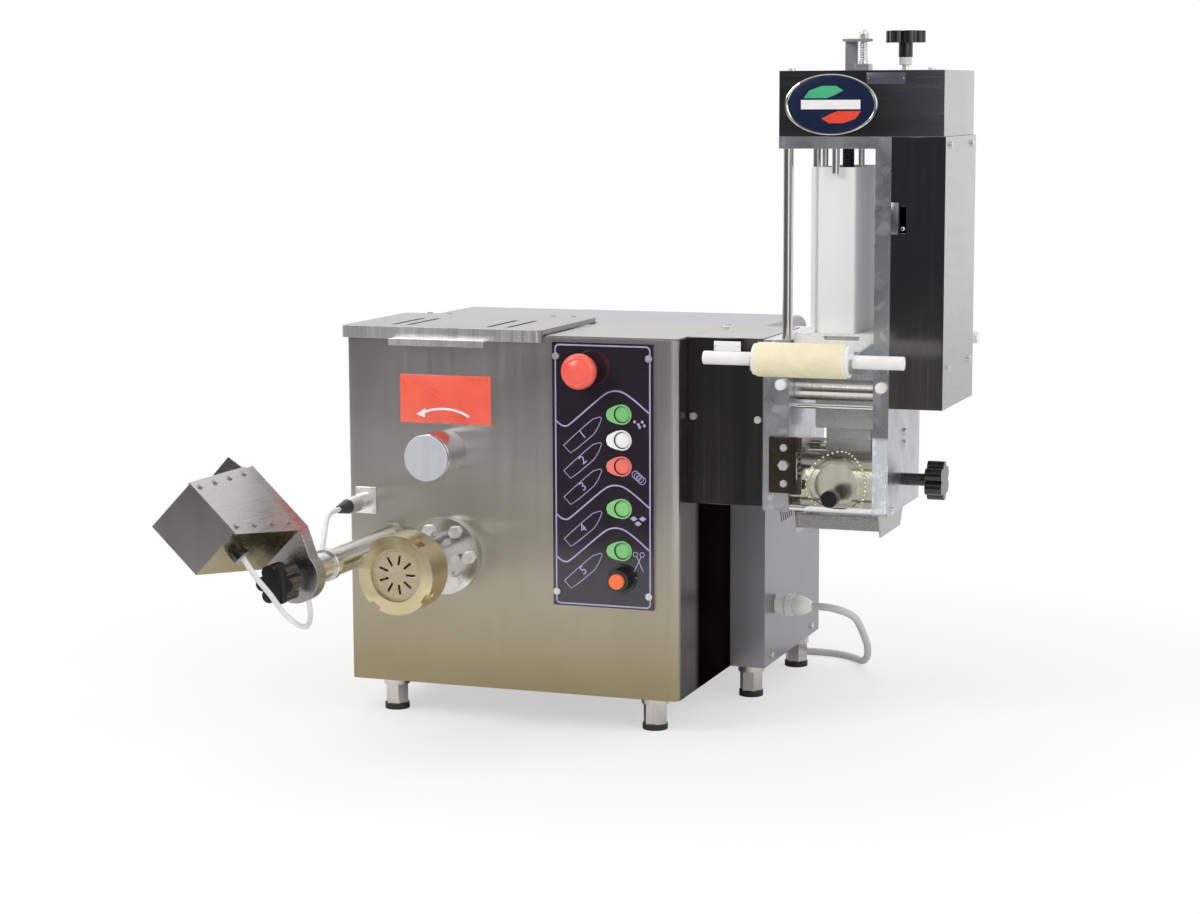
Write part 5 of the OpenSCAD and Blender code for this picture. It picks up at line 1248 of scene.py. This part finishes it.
@dataclass
class MainsLead:
    """The mains cord with its gland, coil, tie and plug."""

    diameter: float = 9.0
    exit: Point = (490, 247.5, 109.5)
    route: tuple[Point, ...] = (
        (490, 247.5, 109.5), (500, 247.5, 109.5), (509.8, 248.6, 108.8), (519, 251.7, 106.6),
        (526.9, 256.7, 103.3), (532.9, 263.3, 98.9), (536.7, 270.9, 93.7), (538, 279, 88.2),
        (538.2, 299, 74.2), (537, 320, 60), (535, 340, 47.5), (531, 360, 35.5), (526, 379, 25),
        (519, 398, 16), (511, 418, 9), (502, 436, 5.5), (489, 452, 4.5), (472, 464, 4.5),
        (452, 470, 4.5), (425, 471, 4.5), (396, 471, 4.5), (368, 471, 4.5))
    tail: tuple[Point, ...] = ((340, 471, 13.5), (320, 471, 12.5), (301, 471, 10), (282, 471, 8),
                               (262, 471, 8))
    coil_centre: Flat = (340.0, 525.0)
    wide: float = 54.0
    narrow: float = 45.0
    low: float = 4.5
    high: float = 13.5
    turns: int = 3
    steps: int = 20
    plug_face: float = 204.9
    ribs: int = 4
    rib_start: float = -44.4
    rib_pitch: float = 3.2
    hexagon_half: float = 12.4
    tie_half: float = 9.5
    tie_wall: float = 0.45
    tie_width: float = 8.0
    tie_corner: float = 4.0
    tie_reach: Flat = (0.05, 18.6)

    def build(self) -> None:
        points = eased(along([*self.route, *self._coil(), *self.tail[1:]]), 3)
        cord = tube(points, self.diameter / 2.0, "mains_lead", 5)
        cord.data.materials.append(Palette.mains.material())
        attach(cord, "machine")
        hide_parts("mains_cord", "cord_coil")
        self._gland()
        tie = self._tie()
        plug = refined("mains_plug", [
            Zone(Palette.plug), side(Palette.zinc, Axis.X, high=self.plug_face)], 2.2, 3)
        LOG.info("mains cord %.3f m", length_of(points))

    def _coil(self) -> list[Point]:
        """Gives the coil's points: one wide turn, one narrow and one wide above them."""
        points = []
        for i in range(self.turns * self.steps + 1):
            turn = 360.0 * i / self.steps
            radius = self.wide + (self.narrow - self.wide) * self._step(turn, 240, 360)
            radius += (self.wide - self.narrow) * self._step(turn, 720, 840)
            height = self.low + (self.high - self.low) * self._step(turn, 480, 560)
            angle = math.radians(turn)
            points.append((self.coil_centre[0] - radius * math.sin(angle),
                           self.coil_centre[1] - radius * math.cos(angle), height))
        return points

    @staticmethod
    def _step(turn: float, start: float, end: float) -> float:
        """Rises smoothly from 0 to 1 between two angles, and gives the height at the turn."""
        t = min(1.0, max(0.0, (turn - start) / (end - start)))
        return t * t * (3.0 - 2.0 * t)

    def _gland(self) -> None:
        """Turns the gland: a locknut, a ribbed collar, a hexagon and a tapered dome nut."""
        x, y, z = self.exit
        profile = [(0, -51), (11.5, -51), (11.5, -45.6), (7.9, -45.4), (7.9, -44.8), (11.0, -44.6)]
        for rib in range(self.ribs):
            start = self.rib_start + rib * self.rib_pitch
            profile += [(11.2, start), (11.2, start + 1.8), (10.3, start + 2.1), (10.3, start + 3.0)]
        profile += [(10.3, -31.4), (13.4, -31.2), (14, -30.6), (14, -23.8), (13.4, -23.2), (10.2, -23.0),
                    (10.2, -22.2), (11.4, -22.0), (11.7, -21.4), (11.7, -15.0), (11.0, -11.5),
                    (9.6, -7.5), (7.8, -3.6), (6.2, -0.8), (5.3, 0), (0, 0)]
        bm = lathe(profile, (x, y, z), Axis.X, 48)
        for step in range(6):
            up = Matrix.Rotation(math.radians(60 * step), 3, "X") @ Vector((0, 0, 1))
            bmesh.ops.bisect_plane(bm, geom=[*bm.verts, *bm.edges, *bm.faces],
                                   plane_co=at(x, y, z) + up * self.hexagon_half / 1000.0,
                                   plane_no=up, clear_outer=True)
        bmesh.ops.holes_fill(bm, edges=[e for e in bm.edges if e.is_boundary], sides=0)
        piece = finished(bm, "mains_gland", "machine", Palette.gland)
        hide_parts("cord_gland")

    def _tie(self) -> bpy.types.Object:
        """Wraps a strap round the coil."""
        x, y = self.coil_centre[0] - (self.wide + self.narrow) / 2.0, self.coil_centre[1]
        half, (low, high) = self.tie_half + self.tie_wall, self.tie_reach
        bm = block((x - half, y - self.tie_width / 2, low), (x + half, y + self.tie_width / 2, high))
        rim = {e for f in bm.faces if abs(f.normal.y) < 0.1 for e in f.edges
               if all(abs(g.normal.y) < 0.1 for g in e.link_faces)}
        bmesh.ops.bevel(bm, geom=list(rim), offset=self.tie_corner / 1000.0, offset_type="OFFSET",
                        segments=5, profile=0.5, affect="EDGES", material=-1)
        ends = [f for f in bm.faces if abs(f.normal.y) > 0.9]
        bmesh.ops.delete(bm, geom=ends, context="FACES_ONLY")
        bmesh.ops.recalc_face_normals(bm, faces=bm.faces)
        bmesh.ops.solidify(bm, geom=bm.faces[:], thickness=self.tie_wall / 1000.0)
        return finished(bm, "coil_tie", "machine", Palette.tie)


@dataclass
class CutterCables:
    """The cutter's cable: one stretch to the clip on the rod, and one on to the motor box."""

    diameter: float = 6.0
    rear: tuple[Point, ...] = (
        (21, -75, 252), (21, -92, 252), (21.2, -100, 250.7), (22, -107, 247), (23, -113, 242),
        (25, -122, 230), (27, -131, 218), (29, -140.5, 205.5), (31, -149.5, 193.5), (32, -156, 188),
        (32.8, -162, 184.5), (33, -166, 183), (33, -171, 183))
    front: tuple[Point, ...] = (
        (33, -179, 183), (33, -183, 183), (34.5, -188, 181), (38.5, -194, 176), (44.5, -202, 168),
        (50.5, -212, 160), (55, -223, 154), (58.5, -237, 151), (60.5, -251, 153), (61.5, -267, 159),
        (61.5, -282, 167.5), (60.5, -296, 177), (58.5, -305, 187), (55, -312.5, 198),
        (50.5, -320, 208.5), (46.5, -327, 218), (43.5, -332.5, 226.5), (41, -336, 233),
        (38.4, -338, 238.7), (35.5, -338, 241.5))

    def build(self) -> None:
        """Hangs both stretches."""
        self._stretch("cutter_cable_rear", self.rear)
        self._stretch("cutter_cable_front", self.front)

    def _stretch(self, node: str, route: Sequence[Point]) -> None:
        """Hangs one stretch that runs between two bodies, as a fixed tube.

        Args:
            node: The CAD node that it stands for.
            route: Its points in machine millimetres.
        """
        line = eased(along(route), 3)
        mesh = meshed(tube(line, self.diameter / 2.0, f"{node}_curve", 5))
        mesh.name = f"{node}_sheath"
        mesh.materials.clear()
        mesh.materials.append(Palette.cable.material())
        piece = linked(f"{node}_sheath", mesh)
        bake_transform(piece)
        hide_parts(node)
        LOG.info("piece %s, %.3f m", piece.name, length_of(line))


# ---------------------------------------------------------------- machine


@dataclass
class Casing:
    """Housings, lid, covers, plates and feet."""

    lid_rim: float = -7.0
    front_side: float = 401.0
    link_top: float = 449.0
    dark_strip: tuple[Point, Point] = ((402, 195, 0), (445, 200.6, 448))
    white_screws: tuple[tuple[Point, Point], ...] = (((504, 20, 392), (518, 34, 408)),
                                                     ((609, 20, 392), (631, 34, 408)))
    feet_rubber: float = 7.0
    arrow: tuple[Flat, ...] = ((94, 356.6), (101, 359.4), (109, 361.2), (121, 362.2), (133, 361.0),
                               (143, 358.2), (151.6, 354.0))
    arrow_head: tuple[Flat, ...] = ((86, 355.2), (98, 362.6), (96.6, 351.6))
    plate_edge: tuple[Flat, ...] = ((68.2, 347.2), (176.3, 347.2), (176.3, 398.8), (68.2, 398.8))
    rivet_in: float = 2.2
    rivet_radius: float = 0.9
    badge_centre: Flat = (565.0, 706.0)
    badge_half: Flat = (52.0, 33.0)
    badge_bar: Flat = (33.0, 5.0)
    badge_field: tuple[Flat, ...] = ((-30, 7), (-24, 15), (-10, 20), (6, 20), (14, 15), (4, 10), (-4, 7))
    badge_top: float = 31.3
    connector_place: Flat = (21.0, 252.0)
    flange_half: Flat = (13.0, 15.5)
    flange_screws: Flat = (10.0, 12.5)
    flange_depth: float = 2.0
    shell_grooves: int = 6
    groove_pitch: float = 2.6
    latch_box: tuple[Point, Point] = ((632.5, 33.2, 567), (640.5, 34.0, 601))
    latch_pin: Point = (645.5, 34.0, 573)
    plates: dict[str, tuple[Point, Point, Finish]] = field(default_factory=lambda: {
        "direction_plate": ((66, -1.0, 345), (178.5, 0.0, 401), Palette.plate_red),
        "side_plate": ((433, PLATE_FACE, 435), (464, COVER_FACE, 446), Palette.plate_white),
        "head_plate": ((604, PLATE_FACE, 727.5), (647, COVER_FACE, 740), Palette.plate_dark)})

    def build(self) -> None:
        """Dresses the sheet metal and adds the plates."""
        # The front housing's right side takes the painted shade.
        refined("front_housing", [
            Zone(Palette.housing), side(Palette.front_side, Axis.X, low=self.front_side)], 0.3)
        # The rear housing's strip beside the front housing takes the painted shade.
        refined("rear_housing", [
            Zone(Palette.side), Zone(Palette.dark_strip, *self.dark_strip)], 0.3)
        refined("lid", [
            Zone(Palette.lid), side(Palette.lid_rim, Axis.Y, high=self.lid_rim)], 0.4)
        refined("top_cover", [Zone(Palette.top)], 0.4)
        # The link box's sides take the painted dark reflection, and its top takes the plain top steel.
        refined("link_box", [
            Zone(Palette.dark), side(Palette.top, Axis.Z, low=self.link_top)], 0.7)
        refined("levelling_feet", [
            Zone(Palette.foot), side(Palette.rubber, Axis.Z, high=self.feet_rubber)], 0.6)
        refined("fasteners", [
            Zone(Palette.zinc), *(Zone(Palette.plate_white, *box) for box in self.white_screws)], 0.35)
        dressed(Palette.side, "base_plate")
        self._label_plates()
        self._badge()
        self._connector()
        self._latch()

    def _label_plates(self) -> None:
        """Makes the bare plates and the turning arrow."""
        for name, (low, high, finish) in self.plates.items():
            bm = block(low, high)
            soften(bm, 0.35)
            finished(bm, name, "machine", finish)
        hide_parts("label_plates")
        art = FrontArt("machine", -1.0, "label_enamel")
        art.line("arrow_shaft", self.arrow, Palette.plate_white, 2.6, smooth=True)
        art.shape("arrow_head", [self.arrow_head], Palette.plate_white)
        art.line("direction_plate_edge", self.plate_edge, Palette.coral_print, 0.7, closed=True)
        rivets = FrontArt("machine", PLATE_FACE, "label_enamel")
        for (left, _, bottom), (right, _, top), _ in (self.plates["side_plate"], self.plates["head_plate"]):
            for n, across in enumerate((left + self.rivet_in, right - self.rivet_in)):
                rivets.shape(f"plate_rivet_{left}_{n}", [
                    ring_of(across, (bottom + top) / 2, self.rivet_radius, 16)], Palette.zinc, 0.35)

    def _badge(self) -> None:
        """Makes the oval badge: a navy dome in a bright rim, with plain coloured fields."""
        (x, z), (wide, high) = self.badge_centre, self.badge_half
        spot = (x, COVER_FACE, z)
        dome = lathe([(0, -3.0), (20, -2.9), (36, -2.6), (46, -2.1), (48.6, -1.7), (48.8, 0), (0, 0)],
                     spot, Axis.Y, 96)
        rim = lathe([(48.0, 0), (48.2, -2.0), (49.2, -2.9), (50.4, -3.0), (51.6, -2.4), (wide, 0)],
                    spot, Axis.Y, 96)
        bmesh.ops.holes_fill(rim, edges=[e for e in rim.edges if e.is_boundary], sides=0)
        centre = at(*spot)
        for bm, name, finish in ((dome, "badge_dome", Palette.navy), (rim, "badge_rim", Palette.chrome)):
            bmesh.ops.translate(bm, verts=bm.verts, vec=-centre)
            bmesh.ops.scale(bm, verts=bm.verts, vec=(1.0, 1.0, high / wide))
            bmesh.ops.translate(bm, verts=bm.verts, vec=centre)
            finished(bm, name, "machine", finish, 40.0)
        art = FrontArt("machine", self.badge_top, "label_enamel")
        across, up = self.badge_bar
        art.shape("badge_bar", [[(x - across, z - up), (x + across, z - up), (x + across, z + up),
                                 (x - across, z + up)]], Palette.plate_white, 0.6)
        upper = [(x + dx, z + dz) for dx, dz in self.badge_field]
        lower = [(x + 4 - dx, z - dz) for dx, dz in self.badge_field]
        art.shape("badge_upper_field", [upper], Palette.badge_green, 0.5)
        art.shape("badge_lower_field", [lower], Palette.badge_red, 0.5)

    def _connector(self) -> None:
        """Turns the cutter's connector: a bright flange, a grooved shell and a boot."""
        x, z = self.connector_place
        wide, high = self.flange_half
        flange = block((x - wide, -self.flange_depth, z - high), (x + wide, 0.0, z + high))
        soften(flange, 0.5)
        plate = finished(flange, "connector_flange", "machine", Palette.zinc)
        shell = [(0, 20), (9.0, 20), (9.3, 0), (9.3, -9)]
        for groove in range(self.shell_grooves):
            start = -10.0 - groove * self.groove_pitch
            shell += [(9.5, start), (9.5, start - 1.6), (9.0, start - 1.9), (9.0, start - 2.3)]
        shell += [(9.4, -27), (9.4, -33), (8.9, -34), (8.9, -50), (8.4, -52), (0, -52)]
        finished(lathe(shell, (x, 0.0, z), Axis.Y, 48), "connector_shell", "machine",
                 Palette.connector)
        boot = [(0, -51.9), (8.2, -51.9), (8.4, -53), (7.4, -57), (6.6, -63), (5.5, -69), (4.6, -74.4),
                (3.3, -75), (0, -75)]
        finished(lathe(boot, (x, 0.0, z), Axis.Y, 48), "connector_boot", "machine",
                 Palette.inner_black)
        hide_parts("cable_connector")
        art = FrontArt("machine", -self.flange_depth, "connector_metal")
        across, up = self.flange_screws
        for n, (dx, dz) in enumerate(((-across, -up), (across, -up), (-across, up), (across, up))):
            art.shape(f"connector_screw_{n}", [ring_of(x + dx, z + dz, 1.9, 18)], Palette.zinc, 0.9)

    def _latch(self) -> None:
        """Rivets the latch's grey plate beside the gear cover's slot and its pin in the slot."""
        bm = block(*self.latch_box)
        soften(bm, 0.35)
        finished(bm, "cover_latch", "machine", Palette.side)
        pin = lathe([(0, -1.4), (1.6, -1.4), (2.2, -0.8), (2.2, 3.0), (0, 3.0)], self.latch_pin, Axis.Y, 24)
        finished(pin, "latch_pin", "machine", Palette.chrome)


@dataclass
class Controls:
    """The front panel with its printed art, buttons and dial."""

    left: float = 254.0
    bottom: float = 143.5
    width: float = 120.0
    height: float = 300.0
    button_x: float = 337.0
    button_heights: tuple[float, ...] = (364.0, 335.0, 305.5, 257.5, 209.5)
    tag_outline: tuple[Flat, ...] = (
        (267.4, 326.7), (275.7, 318.3), (285.0, 325.0), (303.7, 340.8), (309.1, 349.2), (313.1, 358.7),
        (311.1, 360.5), (302.5, 357.7), (294.5, 351.1), (281.1, 339.3))
    tag_steps: tuple[float, ...] = (0.0, -28.8, -58.8, -106.6, -154.8)
    wave: tuple[Flat, ...] = (
        (258.9, 354.2), (263.9, 350.2), (269.2, 348.6), (273.9, 350.3), (285.2, 359.6), (302.6, 374.6),
        (314.5, 384.4), (321.1, 388.4), (327.7, 390.1), (335.6, 389.5), (343.4, 386.1), (355.2, 377.8),
        (368.9, 366.5))
    wave_steps: tuple[float, ...] = (0.0, -106.4, -154.8)
    border_in: float = 4.0
    border_ends: Flat = (2.6, 3.2)
    border_corner: float = 4.5
    broad_line: float = 1.7
    thin_line: float = 0.9
    tag_number: Flat = (290.5, 339.6)
    number_size: float = 10.5
    number_turn: float = 40.0
    leaf: tuple[Flat, ...] = ((-13.3, 7.3), (-17.3, 4.4), (-18.9, -0.4), (-17.3, -5.6), (-13.4, -8.2),
                              (-6.8, -10.6))
    leaf_end: Flat = (-6.6, 10.4)
    leaf_radius: float = 11.4
    leaf_hole: float = 9.75
    pellets: tuple[Flat, ...] = ((352, 356.5), (356.5, 353.5), (361, 356.5), (358, 350.5), (363.5, 352.5))
    pellet_radius: float = 1.7
    coil_start: Flat = (353.0, 297.0)
    coil_step: Flat = (2.6, -2.2)
    coil_turns: int = 4
    coil_radius: float = 4.2
    squares: tuple[Flat, ...] = ((350.9, 247.0), (361.4, 247.3), (355.9, 241.7))
    square_half: Flat = (4.4, 3.0)
    blades: tuple[tuple[Flat, ...], ...] = (((354.0, 204.4), (362.0, 187.4)),
                                            ((359.5, 204.4), (351.4, 187.4)))
    blade_rings: tuple[Flat, ...] = ((352.8, 206.6), (360.7, 206.6))
    blade_ring: float = 2.6
    sign_line: float = 0.8
    dial_mark: tuple[Flat, ...] = ((350.5, 177.0), (350.5, 182.4), (354.6, 179.7))
    stop_centre: Flat = (294.0, 413.0)
    dial_cap: float = -20.02

    def build(self) -> None:
        """Dresses the panel and its controls."""
        refined("control_panel", [Zone(Palette.panel)], 0.6)
        refined("button_bodies", [Zone(Palette.inner_black)], 0.2)
        for node, finish, slot in (("mixer_button", Palette.green, "cap_green"),
                                   ("stop_button", Palette.white, "cap_white"),
                                   ("extruder_button", Palette.coral, "cap_red"),
                                   ("ravioli_button", Palette.green, "cap_green"),
                                   ("cutter_button", Palette.green, "cap_green")):
            refined(node, [Zone(finish)], 1.0, 3)
        self._printed_lines()
        self._leaves()
        self._pictograms()
        self._emergency_stop()
        self._speed_dial()

    def _printed_lines(self) -> None:
        """Prints the frame, the waves and the numbered tags."""
        art = FrontArt("machine", PANEL_FACE, "panel_black")
        ink, corner = Palette.lavender, self.border_corner
        inset = self.border_in + corner
        x0, x1 = self.left + inset, self.left + self.width - inset
        z0 = self.bottom + self.border_ends[0] + corner
        z1 = self.bottom + self.height - self.border_ends[1] - corner
        border = [place for n, (x, z) in enumerate(((x1, z1), (x0, z1), (x0, z0), (x1, z0)))
                  for place in ring_of(x, z, corner, 7, 90.0 * n, 90.0)]
        art.line("panel_border", border, ink, self.broad_line, closed=True)
        for n, drop in enumerate(self.wave_steps, 1):
            art.line(f"panel_wave_{n}", [(x, z + drop) for x, z in self.wave], ink, self.broad_line,
                     smooth=True)
        for n, drop in enumerate(self.tag_steps, 1):
            art.line(f"tag_{n}", [(x, z + drop) for x, z in self.tag_outline], ink, self.thin_line,
                     closed=True)
            across, up = self.tag_number
            art.words(f"tag_number_{n}", str(n), (across, up + drop), self.number_size, ink,
                      self.number_turn)

    def _leaves(self) -> None:
        """Prints a leaf round each push-button, pointed to the left."""
        art = FrontArt("machine", PANEL_FACE, "panel_black")
        finishes = (Palette.green_print, Palette.plate_white, Palette.coral_print, Palette.green_print,
                    Palette.green_print)
        x = self.button_x
        for n, (z, finish) in enumerate(zip(self.button_heights, finishes), 1):
            outer = [*((x + dx, z + dz) for dx, dz in self.leaf),
                     *ring_of(x, z, self.leaf_radius, 22, -112.0, 224.0),
                     (x + self.leaf_end[0], z + self.leaf_end[1])]
            art.shape(f"button_leaf_{n}", [outer, ring_of(x, z, self.leaf_hole, 40)], finish)

    def _pictograms(self) -> None:
        """Prints small plain signs beside the buttons."""
        art = FrontArt("machine", PANEL_FACE, "panel_black")
        ink = Palette.lavender
        for n, (x, z) in enumerate(self.pellets):
            art.shape(f"pellet_{n}", [ring_of(x, z, self.pellet_radius, 14)], ink)
        for n in range(self.coil_turns):
            x, z = (start + n * step for start, step in zip(self.coil_start, self.coil_step))
            art.line(f"coil_turn_{n}", ring_of(x, z, self.coil_radius, 18), ink, self.sign_line, closed=True)
        wide, high = self.square_half
        for n, (x, z) in enumerate(self.squares):
            art.shape(f"filled_square_{n}", [[(x - wide, z), (x, z - high), (x + wide, z), (x, z + high)]],
                      ink)
        for n, (ring, blade) in enumerate(zip(self.blade_rings, self.blades)):
            art.line(f"blade_ring_{n}", ring_of(*ring, self.blade_ring, 16), ink, self.sign_line, closed=True)
            art.line(f"blade_{n}", blade, ink)
        art.shape("dial_mark", [self.dial_mark], Palette.plate_white)

    def _emergency_stop(self) -> None:
        """Turns the emergency stop's mushroom with its raised ring."""
        profile = [(0, -32.3), (12.9, -32.5), (13.3, -32.1), (13.9, -32.1), (14.3, -32.5), (16.4, -32.3),
                   (18.0, -31.4), (19.2, -29.8), (19.9, -27.4), (20.0, -25.0), (20.0, -21.2),
                   (19.2, -20.0), (10.0, -20.0), (10.0, 12.7), (0, 12.7)]
        x, z = self.stop_centre
        cap = finished(lathe(profile, (x, 0.0, z), Axis.Y, 64), "stop_mushroom", "estop_cap",
                       Palette.red, 50.0)
        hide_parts("estop_button")

    def _speed_dial(self) -> None:
        """Dresses the ribbed dial and its coloured cap."""
        refined("speed_knob", [
            Zone(Palette.black), side(Palette.orange, Axis.Y, high=self.dial_cap)], 0.35)


@dataclass
class Kneader:
    """Tank, paddle and mixer cap."""

    knob_face: float = -54.6

    def build(self) -> None:
        """Dresses the kneader."""
        dressed(Palette.satin, "mixing_tank", "mixing_paddle")
        refined("mixer_knob", [
            Zone(Palette.knob_side), side(Palette.knob_face, Axis.Y, high=self.knob_face)], 0.8, 3)


@dataclass
class Extruder:
    """Barrel, auger, die, ring nut and drives."""

    def build(self) -> None:
        """Dresses the extruder."""
        refined("extruder_barrel", [Zone(Palette.barrel)], 0.8, 3)
        refined("ring_nut", [Zone(Palette.brass)], 1.2, 3)
        refined("die_insert", [Zone(Palette.bronze)], 0.25)
        dressed(Palette.barrel, "auger")
        dressed(Palette.motor, "gear_motors")
        dressed(Palette.chain, "drive_chains")


@dataclass
class Cutter:
    """The swinging cutter: rod, arm, motor box, knife and clamp knob."""

    box_front: float = -374.0
    box_below: Point = (0.709, -0.167, -0.685)
    gland: tuple[Point, Point] = ((22, -349, 234), (44, -327, 258))
    gland_face: float = 400.0

    def build(self) -> None:
        """Dresses the cutter."""
        refined("arm_rod", [Zone(Palette.rod)], 0.6)
        refined("cutter_arm", [Zone(Palette.cover_side)], 0.8)
        # The cutter box's faces that look down take the painted warm reflection.
        refined("cutter_box", [
            Zone(Palette.cover_side), side(Palette.box_front, Axis.Y, high=self.box_front),
            Zone(Palette.cover_low, facing=self.box_below),
            Zone(Palette.black, *self.gland, largest=self.gland_face)], 0.5)
        refined("cutter_knife", [Zone(Palette.chrome)], 0.2)
        refined("arm_knob", [Zone(Palette.black)], 2.2, 4)
        dressed(Palette.motor, "cutter_motor")


@dataclass
class RavioliUnit:
    """Frame, covers, rollers and guard of the ravioli unit."""

    head_side: float = 689.4
    gear_side: float = 691.4
    bracket_foot: float = 743.0
    sleeve: Flat = (508.3, 605.7)
    guard_knob: float = 24.9
    knob_shank: Flat = (748.6, 757.0)
    sleeve_rings: int = 15
    sleeve_start: Point = (514.5, -50.0, 436.0)
    sleeve_pitch: float = 6.1
    mould_middle: Point = (572.15, 73.7, 289.0)
    mould_radius: float = 34.4
    bead_count: int = 44
    bead_ring: float = 33.9
    bead_radius: float = 1.8
    pin_place: Flat = (594.0, 60.0)
    spring_radius: float = 3.9
    spring_wire: float = 0.55
    spring_reach: Flat = (752.8, 773.0)
    spring_turns: int = 8
    spring_steps: int = 16
    spring_left: float = 0.5

    def build(self) -> None:
        """Dresses the ravioli unit."""
        refined("tower_frame", [Zone(Palette.plate)], 0.4)
        refined("tie_rods", [Zone(Palette.chrome)], 0.4)
        # The head cover's front takes the painted reflection.
        refined("head_cover", [
            Zone(Palette.head_front), side(Palette.cover_side, Axis.X, low=self.head_side),
            side(Palette.bracket_alloy, Axis.Z, low=self.bracket_foot)], 0.5)
        # The gear cover's front takes the painted dark reflection.
        refined("gear_cover", [
            Zone(Palette.gear_front), side(Palette.cover_side, Axis.X, low=self.gear_side)], 0.5)
        for node in ("front_mandrel", "rear_mandrel"):
            refined(node, [
                Zone(Palette.acetal), side(Palette.ivory, Axis.X, *self.sleeve)], 0.8, 3)
        self._faint_rings()
        self._mould_beads()
        self._pin_spring()
        refined("front_feed_roller", [Zone(Palette.feed)], 0.3)
        refined("rear_feed_roller", [Zone(Palette.feed)], 0.3)
        refined("front_mould_roller", [Zone(Palette.mould)], 0.4)
        refined("rear_mould_roller", [Zone(Palette.mould)], 0.4)
        refined("roller_scrapers", [Zone(Palette.cover_side)], 0.3)
        refined("guard_bracket", [Zone(Palette.bracket)], 0.6)
        refined("guard", [
            Zone(Palette.clear), side(Palette.black, Axis.Y, high=self.guard_knob)], 0.5)
        refined("side_knob", [Zone(Palette.black)], 2.0, 4)
        refined("top_knob", [
            Zone(Palette.black), side(Palette.zinc, Axis.Z, high=self.knob_shank[0]),
            side(Palette.acetal, Axis.Z, *self.knob_shank)], 1.4, 3)
        refined("stop_pin", [Zone(Palette.zinc)], 0.3)

    def _faint_rings(self) -> None:
        """Lays faint rings on the front sleeve."""
        x, y, z = self.sleeve_start
        swell = [(18.4, -1.4), (18.6, -0.7), (18.66, 0.0), (18.6, 0.7), (18.4, 1.4)]
        for n in range(self.sleeve_rings):
            ring = lathe(swell, (x + n * self.sleeve_pitch, y, z), Axis.X, 48)
            finished(ring, f"sleeve_ring_{n}", "front_mandrel_body", Palette.ivory)

    def _mould_beads(self) -> None:
        """Sets a ring of small beads round the mould that faces forward."""
        x, y, z = self.mould_middle
        beads = bmesh.new()
        for n in range(self.bead_count):
            angle = 2.0 * math.pi * n / self.bead_count
            across, up = self.bead_ring * math.cos(angle), self.bead_ring * math.sin(angle)
            place = at(x + across, y - math.sqrt(self.mould_radius ** 2 - up ** 2), z + up)
            bmesh.ops.create_icosphere(beads, subdivisions=2, radius=self.bead_radius / 1000.0,
                                       matrix=Matrix.Translation(place))
        finished(beads, "mould_beads", "front_mould", Palette.brass_bead, 60.0)

    def _pin_spring(self) -> None:
        """Winds the return spring between the pin's collar and its bracket."""
        x, y = self.pin_place
        low, high = self.spring_reach
        steps = self.spring_turns * self.spring_steps
        line = []
        for i in range(steps + 1):
            angle = 2.0 * math.pi * i / self.spring_steps
            line.append(at(x + self.spring_radius * math.cos(angle),
                           y + self.spring_radius * math.sin(angle), low + (high - low) * i / steps))
        mesh = meshed(tube(line, self.spring_wire, "pin_spring_line", 2))
        bm = bmesh.new()
        bm.from_mesh(mesh)
        bpy.data.meshes.remove(mesh)
        spring = finished(bm, "pin_spring", "machine", Palette.chrome, 60.0)
        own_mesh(spring)


@dataclass
class Filler:
    """Hopper, cast base, plunger and lead screw."""

    def build(self) -> None:
        """Dresses the filler."""
        refined("hopper", [Zone(Palette.anodised)], 0.5)
        refined("hopper_base", [Zone(Palette.cast)], 1.0, 3)
        dressed(Palette.acetal, "plunger")
        dressed(Palette.thread, "lead_screw")


def main() -> None:
    """Builds the studio, the cords and every sub-assembly."""
    logging.basicConfig(level=logging.INFO, format="%(message)s")
    for assembly in (Studio(), MainsLead(), CutterCables(), Casing(), Controls(), Kneader(), Extruder(),
                     Cutter(), RavioliUnit(), Filler()):
        LOG.info("building %s", type(assembly).__name__)
        assembly.build()


if __name__ == "__main__":
    main()
